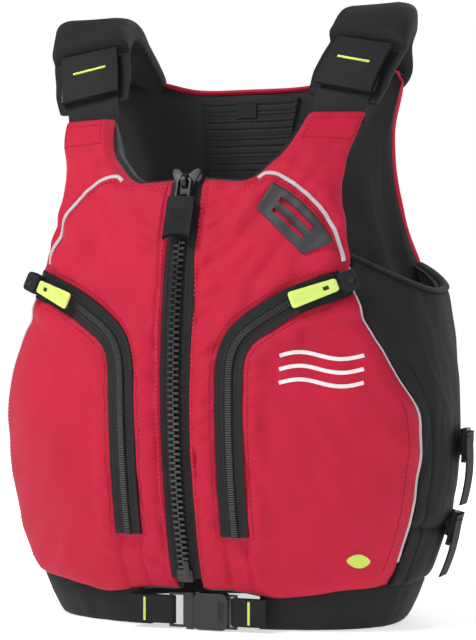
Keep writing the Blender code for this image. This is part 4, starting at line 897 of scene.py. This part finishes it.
def back_panel():
    def point(u, v, out):
        angle, z = back_place(u, v)
        return skin(angle, z, out)

    edge = np.array([0, 0.003, 0.008, 0.014, 0.022])
    us = np.concatenate([edge, np.linspace(0.030, 0.970, 110), 1 - edge[::-1]])
    vs = np.concatenate([edge, np.linspace(0.030, 0.970, 120), 1 - edge[::-1]])
    u, v = np.meshgrid(us, vs)
    across = (u - 0.5) * 0.36
    z = 0.035 + v * 0.46
    out = 0.0022 * rumple(across, z, 0.07, 0.09, 21.0) + 0.0010 * rumple(across, z, 0.024, 0.03, 22.0)
    out = out - rounding(np.minimum(u, 1 - u) * 0.36, 0.024,
        0.0080) - rounding(np.minimum(v, 1 - v) * 0.46, 0.020, 0.0075)
    yoke = yoke_at(across)
    out = out - 0.0030 * bell(z, yoke, 0.003) + 0.0018 * bell(z, yoke - 0.014, 0.010)
    waist = 0.150
    out = out - 0.0045 * bell(z, waist, 0.006) + 0.0022 * bell(z, waist + 0.024,
        0.014) + 0.0022 * bell(z, waist - 0.022, 0.014)
    for line in (-0.085, 0.085):
        out = out - 0.0022 * bell(across, line, 0.0025) * (z < waist)
    out = out + 0.0012 * rumple(across, z, 0.010, 0.05, 24.0) * bell(z, waist, 0.02)
    cover = pillow("cover_back", point, us, vs, out, np.full(u.shape, -SEAM_DEPTH), "red_fabric",
        uv_scale=BACK_CLOTH, nodes=("back_cover",))
    us, vs = np.linspace(0, 1, 90), np.linspace(0, 1, 100)
    u, v = np.meshgrid(us, vs)
    _, z = back_place(u, v)
    depth = along(BACK_THICKNESS, z)
    inner = -depth - 0.001 + 0.0022 * rumple((u - 0.5) * 0.3, z, 0.05, 0.06, 31.0)
    inner = inner + rounding(np.minimum(u, 1 - u) * 0.30, 0.020,
        0.007) + rounding(np.minimum(v, 1 - v) * 0.46, 0.014, 0.005)
    pad = pillow("pad_back", point, us, vs, np.full(u.shape, -SEAM_DEPTH - 0.0002), inner,
        "lining_satin", bulge=0.003, uv_scale=BACK_CLOTH,
        nodes=("back_foam_lower", "back_foam_upper", "back_lining"))

    def mesh_depth(v, extra):
        _, z = back_place(0.5, v)
        return -along(BACK_THICKNESS, z) - extra

    us, vs = np.linspace(0.34, 0.66, 60), np.linspace(0.45, 0.985, 150)
    u, v = np.meshgrid(us, vs)
    ribs = 0.0007 * np.sin(v * 0.46 / 0.0058 * math.pi * 2)
    pillow("ribbed_panel", point, us, vs, mesh_depth(v, 0.0015), mesh_depth(v, 0.0052) + ribs,
        "mesh_fabric", uv_scale=BACK_CLOTH, nodes=("back_mesh_panel",))
    us, vs = np.linspace(0.474, 0.526, 6), np.linspace(0.948, 0.978, 4)
    u, v = np.meshgrid(us, vs)
    pillow("plain_label", point, us, vs, mesh_depth(v, 0.0062), mesh_depth(v, 0.0070), "label",
        nodes=("size_label",))
    rings = []
    for u in np.linspace(0.155, 0.845, 90):
        angle, z = back_place(u, 1.0)
        ring = []
        for k in range(12):
            turn = math.pi * 2 * k / 12
            ring.append(skin(angle, z + 0.0022 + 0.0030 * math.sin(turn),
                -0.0078 + 0.0078 * math.cos(turn)))
        rings.append(ring)
    loft("neck_binding_roll", rings, "red_fabric", nodes=("neck_binding",))
    across = np.linspace(-0.128, 0.128, 70)
    rings = []
    for s in across:
        z = yoke_at(s)
        angle, _ = back_place(0.5 + s / 0.36, 0.5)
        ring = [skin(angle, z + 0.0016 * math.sin(a), -0.0014 + 0.0016 * math.cos(a))
            for a in np.linspace(0, math.pi * 2, 8, endpoint=False)]
        rings.append(ring)
    loft("piping_back", rings, "piping")


def side_place(side, u, v):
    low, high = 0.038, along(SIDE_TOP, u)
    z = low + v * (high - low)
    start = angle_at(along(FRONT_OUTER_X, z), z) + 0.004
    end = math.pi - angle_at(along(BACK_OUTER_X, z), z) - 0.004
    return side * (start + u * (end - start)), z


def flank_push(side, width):
    return (FLANK_PUSH if side < 0 else 0.0) * bell(width, 0.045, 0.050)


def side_panel(side, word):
    def point(u, v, out):
        angle, z = side_place(side, u, v)
        return skin(angle, z, out)

    us, vs = np.linspace(0, 1, 80), np.linspace(0, 1, 110)
    u, v = np.meshgrid(us, vs)
    width, z = u * 0.18, 0.038 + v * 0.27
    seed = 41.0 + side
    out = -0.0035 + 0.0024 * rumple(width, z, 0.028, 0.075, seed) + 0.0009 * rumple(width, z, 0.010,
        0.03, seed + 1)
    out = out - rounding(np.minimum(v, 1 - v) * 0.27, 0.010,
        0.004) - rounding(np.minimum(u, 1 - u) * 0.18, 0.008, 0.002)
    out = out - 0.0030 * bell(z, 0.088, 0.0030) + 0.0014 * bell(z, 0.100, 0.008)
    out = out - 0.0022 * bell(width, 0.018, 0.0020) * (z < 0.23)
    out = out - flank_push(side, width) * smooth_step(z, 0.05, 0.16)
    folds = 0.0020 * rumple(width - (z - 0.1) * 0.4, z, 0.012, 0.09,
        seed + 2) * np.clip(1 - width / 0.06, 0, 1)
    flank = pillow(f"flank_{word}", point, us, vs, out + folds, out + folds - 0.0075, "black_fabric",
        uv_scale=SIDE_CLOTH, nodes=(f"side_panel_{word}",))
    rings = []
    for u in np.linspace(0.0, 1.0, 60):
        angle, z = side_place(side, u, 1.0)
        push = float(flank_push(side, u * SIDE_CLOTH[0]))
        rings.append([skin(angle, z + 0.0028 * math.sin(a), -0.0066 - push + 0.0046 * math.cos(a))
            for a in np.linspace(0, math.pi * 2, 10, endpoint=False)])
    loft(f"armhole_binding_{word}", rings, "black_fabric")


def waist_belt():
    def top(angle):
        x = abs(float(skin(angle, 0.036, 0.0)[0]))
        if math.cos(angle) < 0:
            return 0.036
        return float(along(FRONT_HEM, (x - FRONT_INNER_X) / (0.170 - FRONT_INNER_X)))

    start = float(angle_at(0.062, 0.013))
    end = 2 * math.pi + float(angle_at(-0.050, 0.013))
    rings = []
    for angle in np.linspace(start, end, 240):
        rise = top(angle) + 0.001
        swell = 0.0010 * noise.noise(Vector((angle * 9, 0, 0)))
        section = ((-0.0092, 0.0), (-0.0080, 0.0012), (-0.0070, 0.006), (-0.0066, rise * 0.5),
            (-0.0074, rise - 0.003), (-0.0094, rise), (-0.0146, rise), (-0.0160, rise * 0.5),
            (-0.0146, 0.0012), (-0.0132, 0.0))
        rings.append([skin(angle, z, out + swell) for out, z in section])
    loft("belt_band", rings, "black_fabric", nodes=("waist_belt",))


BUCKLE_X, BUCKLE_Y, BUCKLE_Z = 0.0100, -0.10134 + SHIFT_Y, 0.0165


def buckle():
    origin = (BUCKLE_X, BUCKLE_Y, BUCKLE_Z)
    axes = ((1, 0, 0), (0, 0, 1), (0, -1, 0))
    deep = 0.0055
    in_plastic("buckle_receiver", "buckle_plug", "buckle_prong_upper", "buckle_prong_lower")
    ribs = [(np.array(origin) + np.array((x, -deep - 0.0001, 0.0)), axes) for x in (0.0170, 0.0190, 0.0210)]
    many("receiver_ribs", lump(0.0005, 0.0095, 0.0005, 0.0004), ribs, "black_plastic")
    for side, end_x, bar_x, word, body in ((1, 0.0700, BUCKLE_X + 0.0312, "left", "jacket"),
            (-1, -0.0580, BUCKLE_X - 0.0285, "right", "buckle_plug")):
        clear, thick, half = 0.0026, 0.0014, 0.0120
        turns = np.linspace(0, math.pi, 13)
        path = [(end_x, BUCKLE_Y - clear), (end_x - side * 0.004, BUCKLE_Y - clear)]
        path += [(bar_x - side * math.sin(a) * clear, BUCKLE_Y - math.cos(a) * clear) for a in turns]
        path += [(end_x - side * 0.004, BUCKLE_Y + clear), (end_x, BUCKLE_Y + clear)]
        path = np.array(path)
        ahead = heading(path)
        outward = np.stack([-ahead[:, 1], ahead[:, 0]], -1) * side
        middle = np.array([bar_x + side * 0.006, BUCKLE_Y])
        if ((path[0] - middle) @ outward[0]) < 0:
            outward = -outward
        rings = []
        for (x, y), (ox, oy) in zip(path, outward):
            rings.append([(x + ox * t, y + oy * t, BUCKLE_Z + h)
                for h, t in ((-half, 0), (-half, thick), (half, thick), (half, 0))])
        loft(f"belt_loop_{word}", rings, "webbing", body=body, nodes=(f"belt_webbing_{word}",))
        tack = [((end_x - side * 0.0155, BUCKLE_Y - clear - thick - 0.0001, BUCKLE_Z + h),
            ((1, 0, 0), (0, 0, 1), (0, -1, 0))) for h in np.linspace(-0.0095, 0.0095, 16)]
        many(f"bar_tack_belt_{word}", lump(0.0011, 0.0007, 0.0004, 0.0003), tack, "lime_thread", body=body)


def lash_patch():
    outer = ((0.0, 0.3885), (0.35, 0.3770), (0.62, 0.3640), (0.83, 0.3510), (1.0, 0.3360))

    def spot(u, v):
        ax, az = 0.0770 + u * 0.0520, float(along(outer, u))
        bx, bz = 0.0655 + u * 0.0420, 0.3660 - u * 0.0400
        return bx + v * (ax - bx), bz + v * (az - bz)

    us = np.linspace(0, 1, 60)
    vs = np.linspace(0, 1, 40)
    slots = ((0.32, 0.075), (0.66, 0.075))
    points, faces = [], []
    for j, v in enumerate(vs):
        for i, u in enumerate(us):
            x, z = spot(u, v)
            base = float(cover_height(x, z, 1))
            rim = min(u, 1 - u) * 0.060
            rim = min(rim, min(v, 1 - v) * 0.025)
            near = 1.0
            for c, h in slots:
                du = max(0.22 - u, u - 0.80, 0) * 0.060
                dv = max(abs(v - c) - h, 0) * 0.025
                near = min(near, math.hypot(du, dv))
            lift = 0.0030 - 0.0010 * max(0, 1 - rim / 0.0014) ** 2 + 0.0006 * max(0, 1 - near / 0.0016)
            points.append(on_front(x, z, base + lift))
    count = len(points)
    for j, v in enumerate(vs):
        for i, u in enumerate(us):
            x, z = spot(u, v)
            points.append(on_front(x, z, float(cover_height(x, z, 1)) + 0.0002))
    columns = len(us)

    def open_cell(i, j):
        u, v = (us[i] + us[i + 1]) / 2, (vs[j] + vs[j + 1]) / 2
        return any(0.22 < u < 0.80 and abs(v - c) < h for c, h in slots)

    edges = {}
    for j in range(len(vs) - 1):
        for i in range(columns - 1):
            if open_cell(i, j):
                continue
            a = j * columns + i
            quad = (a, a + 1, a + columns + 1, a + columns)
            faces.append(quad)
            faces.append(tuple(q + count for q in quad[::-1]))
            for k in range(4):
                p, q = quad[k], quad[(k + 1) % 4]
                if (q, p) in edges:
                    del edges[(q, p)]
                else:
                    edges[(p, q)] = True
    for p, q in edges:
        faces.append((q, p, p + count, q + count))
    points = np.array(points)
    piece("lash_tab", points, faces, "lash_rubber", points[:, [0, 2]], nodes=("lash_patch",))


# ---------------------------------------------------------------- shoulders and side straps
def strap_frames(side, low, high, step=0.003):
    """Places and axes (across, outward, ahead) along a shoulder strap, from one share of its run to another."""
    route = refined(STRAP_ROUTE, 0.0015)
    route = route[int(low * (len(route) - 1)): int(high * (len(route) - 1)) + 1: max(1, int(step / 0.0015))]
    places = route * np.array([side, 1, 1]) + np.array([0, SHIFT_Y, 0])
    if side > 0:
        places[:, 0] -= 0.020 * (1 - smooth_step(places[:, 2], 0.49, 0.53)) * smooth_step(places[:,
            1], 0.04, 0.09)
    ahead = heading(places)
    across = np.tile(np.array([side, 0, 0], float), (len(places), 1))
    across -= ahead * (across * ahead).sum(1)[:, None]
    across /= np.linalg.norm(across, axis=1)[:, None]
    outward = np.cross(across, ahead) * side
    return places, across, outward, ahead


def strap_ribbon(name, side, low, high, half, base, top, look, **facts):
    places, across, outward, _ = strap_frames(side, low, high)
    rings = []
    for p, a, o in zip(places, across, outward):
        section = ((-half, base), (-half, top - 0.0003), (-half + 0.0006, top), (half - 0.0006, top),
            (half, top - 0.0003), (half, base))
        rings.append([p + a * s + o * h for s, h in section])
    return loft(name, rings, look, **facts)


def shoulder(side, word):
    strap_ribbon(f"strap_web_{word}", side, 0.0, 1.0, STRAP_HALF, 0.0, STRAP_THICK, "webbing",
        nodes=(f"shoulder_webbing_{word}",))
    in_plastic(f"shoulder_adjuster_{word}")
    strap_ribbon(f"strap_flap_{word}", side, 0.125, 0.36, STRAP_HALF + 0.0018, 0.0066, 0.0098,
        "webbing", nodes=(f"shoulder_flap_{word}",))
    places, across, outward, ahead = strap_frames(side, 0.25, 0.29, 0.0015)
    spot = places[0]
    tack = [(spot + across[0] * s + outward[0] * 0.0102, (across[0], ahead[0], outward[0]))
        for s in np.linspace(-0.015, 0.015, 24)]
    many(f"bar_tack_shoulder_{word}", lump(0.0008, 0.0011, 0.0005, 0.0003), tack, "lime_thread")
    places, across, outward, _ = strap_frames(side, 0.10, 0.985, 0.0015)
    rings = []
    count = len(places)
    low = 0.0085
    for k, (p, a, o) in enumerate(zip(places, across, outward)):
        share = k / (count - 1)
        mouth = float(smooth_step(share, 0.29, 0.31))
        high = -0.0008 + 0.0180 * mouth
        wide = 0.0335 + 0.0030 * float(smooth_step(share, 0.0,
            0.12)) + 0.0010 * mouth - 0.0085 * float(smooth_step(share, 0.62, 0.95))
        close = 1 - 0.32 * max(0, 1 - share / 0.03) ** 2 - 0.30 * max(0, (share - 0.95) / 0.05) ** 2
        ring = []
        for m in range(36):
            turn = math.pi * 2 * m / 36
            c, s = math.cos(turn), math.sin(turn)
            x = wide * math.copysign(abs(c) ** 0.38, c)
            h = (high if s > 0 else low) * math.copysign(abs(s) ** 0.55, s) * close
            crease = 0.0018 * noise.noise(Vector((x * 40, share * 7,
                side * 3.0 + 60))) + 0.0007 * noise.noise(Vector((x * 30, share * 18, side * 5.0)))
            crease *= mouth if s > 0 else 1.0
            ring.append(p + a * (x * (0.96 + 0.04 * close)) + o * (h + 0.0004 + crease))
        rings.append(ring)
    sleeve = loft(f"sleeve_{word}", rings, "black_fabric", nodes=(f"shoulder_sleeve_{word}",))


def side_adjuster(side, word, level, z, tail):
    in_plastic(f"ladder_lock_{level}_{word}")
    half = 0.0120
    rings = []
    angles = np.radians([118, 112, 108, 106, 103, 100, 98, 96, 94, 92, 90.5])
    rises = along(((90.5, 0.0070), (98, 0.0072), (103, 0.0074), (106, 0.0034), (110, 0.0008),
        (118, 0.0008)), np.degrees(angles))
    for angle, rise in zip(angles, rises):
        rings.append([skin(side * angle, z + h, rise + o)
            for h, o in ((-half, 0), (half, 0), (half, 0.0016), (-half, 0.0016))])
    loft(f"strap_side_{level}_{word}", rings, "webbing", nodes=(f"side_strap_{level}_{word}",))
    rings = []
    for h in np.linspace(z + 0.008, z - tail, 24):
        spot = skin(side * math.radians(92.5), h, 0.0)
        drift = 0.0015 * math.sin((z - h) * 60)
        rings.append([spot + np.array((side * (o + drift), a, 0))
            for a, o in ((-half, 0.0084), (half, 0.0084), (half, 0.0100), (-half, 0.0100))])
    loft(f"strap_end_{level}_{word}", rings, "webbing")


# ---------------------------------------------------------------- plain marks in place of printed ones
def marks():
    """Three plain wavy bars on the left pocket and a small plain lozenge near the hem."""
    for k in range(3):
        path = [(0.092 + s * 0.066, 0.2400 - 0.0115 * k + 0.0030 * math.sin(s * math.pi * 2))
            for s in np.linspace(0, 1, 50)]
        rings = []
        for (x, z), (nx, nz) in zip(path, across_path(path)):
            base = float(cover_height(x, z, 1))
            rings.append([on_front(x + a * nx, z + a * nz, base + o)
                for a, o in ((-0.0017, 0.0001), (-0.0015, 0.0006), (0.0015, 0.0006), (0.0017, 0.0001))])
        loft(f"wave_mark_{k}", rings, "mark_white")
    path = [(0.139 + s * 0.018, 0.0640 - s * 0.001) for s in np.linspace(0, 1, 16)]
    rings = []
    for k, ((x, z), (nx, nz)) in enumerate(zip(path, across_path(path))):
        half = 0.0006 + 0.0056 * math.sin(math.pi * k / 15) ** 0.7
        base = float(cover_height(x, z, 1))
        rings.append([on_front(x + a * nx, z + a * nz, base + o)
            for a, o in ((-half, 0.0001), (-half, 0.0006), (half, 0.0006), (half, 0.0001))])
    loft("lozenge_mark", rings, "mark_lime")


# ---------------------------------------------------------------- camera, light and floor
CAMERA_AZIMUTH, CAMERA_DISTANCE, CAMERA_HEIGHT = 20.0, 1.900, 0.270
LENS, SENSOR, LENS_SHIFT = 156.2, 36.0, 0.0147
LIGHTS = (  # name, place, size and power
    ("key", (-0.50, -0.90, 1.30), 0.5, 16.0),
    ("fill", (1.6, -1.3, 1.2), 1.2, 5.0),
    ("rim", (0.5, 1.6, 1.9), 1.4, 20.0),
)
FLOOR_HALF = 6
# The floor glows: painted light, dimmer near the middle as painted shade round the jacket.
FLOOR_GLOW = {"From Min": 0.40, "From Max": 1.60, "To Min": 0.62,
    "To Max": 1.0}  # by distance from the middle
SKY_LIGHT = {"From Min": 0.155, "From Max": 0.30, "To Min": 1.0, "To Max": 0.12}  # by height in the sky


def studio():
    azimuth = math.radians(CAMERA_AZIMUTH)
    data = bpy.data.cameras.new("camera")
    data.sensor_fit = "HORIZONTAL"
    data.sensor_width = SENSOR
    data.lens = LENS
    data.shift_x = LENS_SHIFT
    camera = bpy.data.objects.new("camera", data)
    camera.location = (math.sin(azimuth) * CAMERA_DISTANCE,
        SHIFT_Y - math.cos(azimuth) * CAMERA_DISTANCE, CAMERA_HEIGHT)
    camera.rotation_euler = (math.pi / 2, 0, azimuth)
    bpy.context.collection.objects.link(camera)
    bpy.context.scene.camera = camera
    for name, place, size, power in LIGHTS:
        light = bpy.data.lights.new(name, "AREA")
        light.size = size
        light.energy = power
        lamp = bpy.data.objects.new(name, light)
        lamp.location = place
        lamp.rotation_euler = (Vector(place) - Vector((0, 0, 0.3))).to_track_quat("Z", "Y").to_euler()
        bpy.context.collection.objects.link(lamp)
    mesh = bpy.data.meshes.new("floor")
    corners = [(x * FLOOR_HALF, y * FLOOR_HALF, 0) for x, y in ((-1, -1), (1, -1), (1, 1), (-1, 1))]
    mesh.from_pydata(corners, [], [(0, 1, 2, 3)])
    made, nodes, links, shader = new_material("pale_floor", (0.92, 0.92, 0.92), 0.9)
    # Painted light: the floor glows, less near the middle, as painted shade round the jacket.
    shader.inputs["Emission Color"].default_value = (1, 1, 1, 1)
    reach = nodes.new("ShaderNodeVectorMath")
    reach.operation = "LENGTH"
    links.new(nodes.new("ShaderNodeTexCoord").outputs["Object"], reach.inputs[0])
    glow = nodes.new("ShaderNodeMapRange")
    for name, value in FLOOR_GLOW.items():
        glow.inputs[name].default_value = value
    links.new(reach.outputs["Value"], glow.inputs["Value"])
    links.new(glow.outputs["Result"], shader.inputs["Emission Strength"])
    mesh.materials.append(made)
    floor = bpy.data.objects.new("floor", mesh)
    floor.location.z = -0.0005
    bpy.context.collection.objects.link(floor)
    world = bpy.data.worlds.new("studio")
    bpy.context.scene.world = world
    world.use_nodes = True
    nodes, links = world.node_tree.nodes, world.node_tree.links
    direction = nodes.new("ShaderNodeTexCoord")
    split = nodes.new("ShaderNodeSeparateXYZ")
    links.new(direction.outputs["Generated"], split.inputs["Vector"])
    dim = nodes.new("ShaderNodeMapRange")
    for name, value in SKY_LIGHT.items():
        dim.inputs[name].default_value = value
    links.new(split.outputs["Z"], dim.inputs["Value"])
    links.new(dim.outputs["Result"], nodes["Background"].inputs["Strength"])
    nodes["Background"].inputs["Color"].default_value = (1, 1, 1, 1)
    bpy.context.scene.view_settings.view_transform = "Standard"


studio()
for side, word in SIDES:
    front_half(side, word)
    front_seams(side, word)
    pocket_zip(side, word)
    side_panel(side, word)
    shoulder(side, word)
    side_adjuster(side, word, "upper", 0.158, 0.052)
    side_adjuster(side, word, "lower", 0.084, 0.042)
back_panel()
main_zip()
main_slider()
lash_patch()
waist_belt()
buckle()
marks()
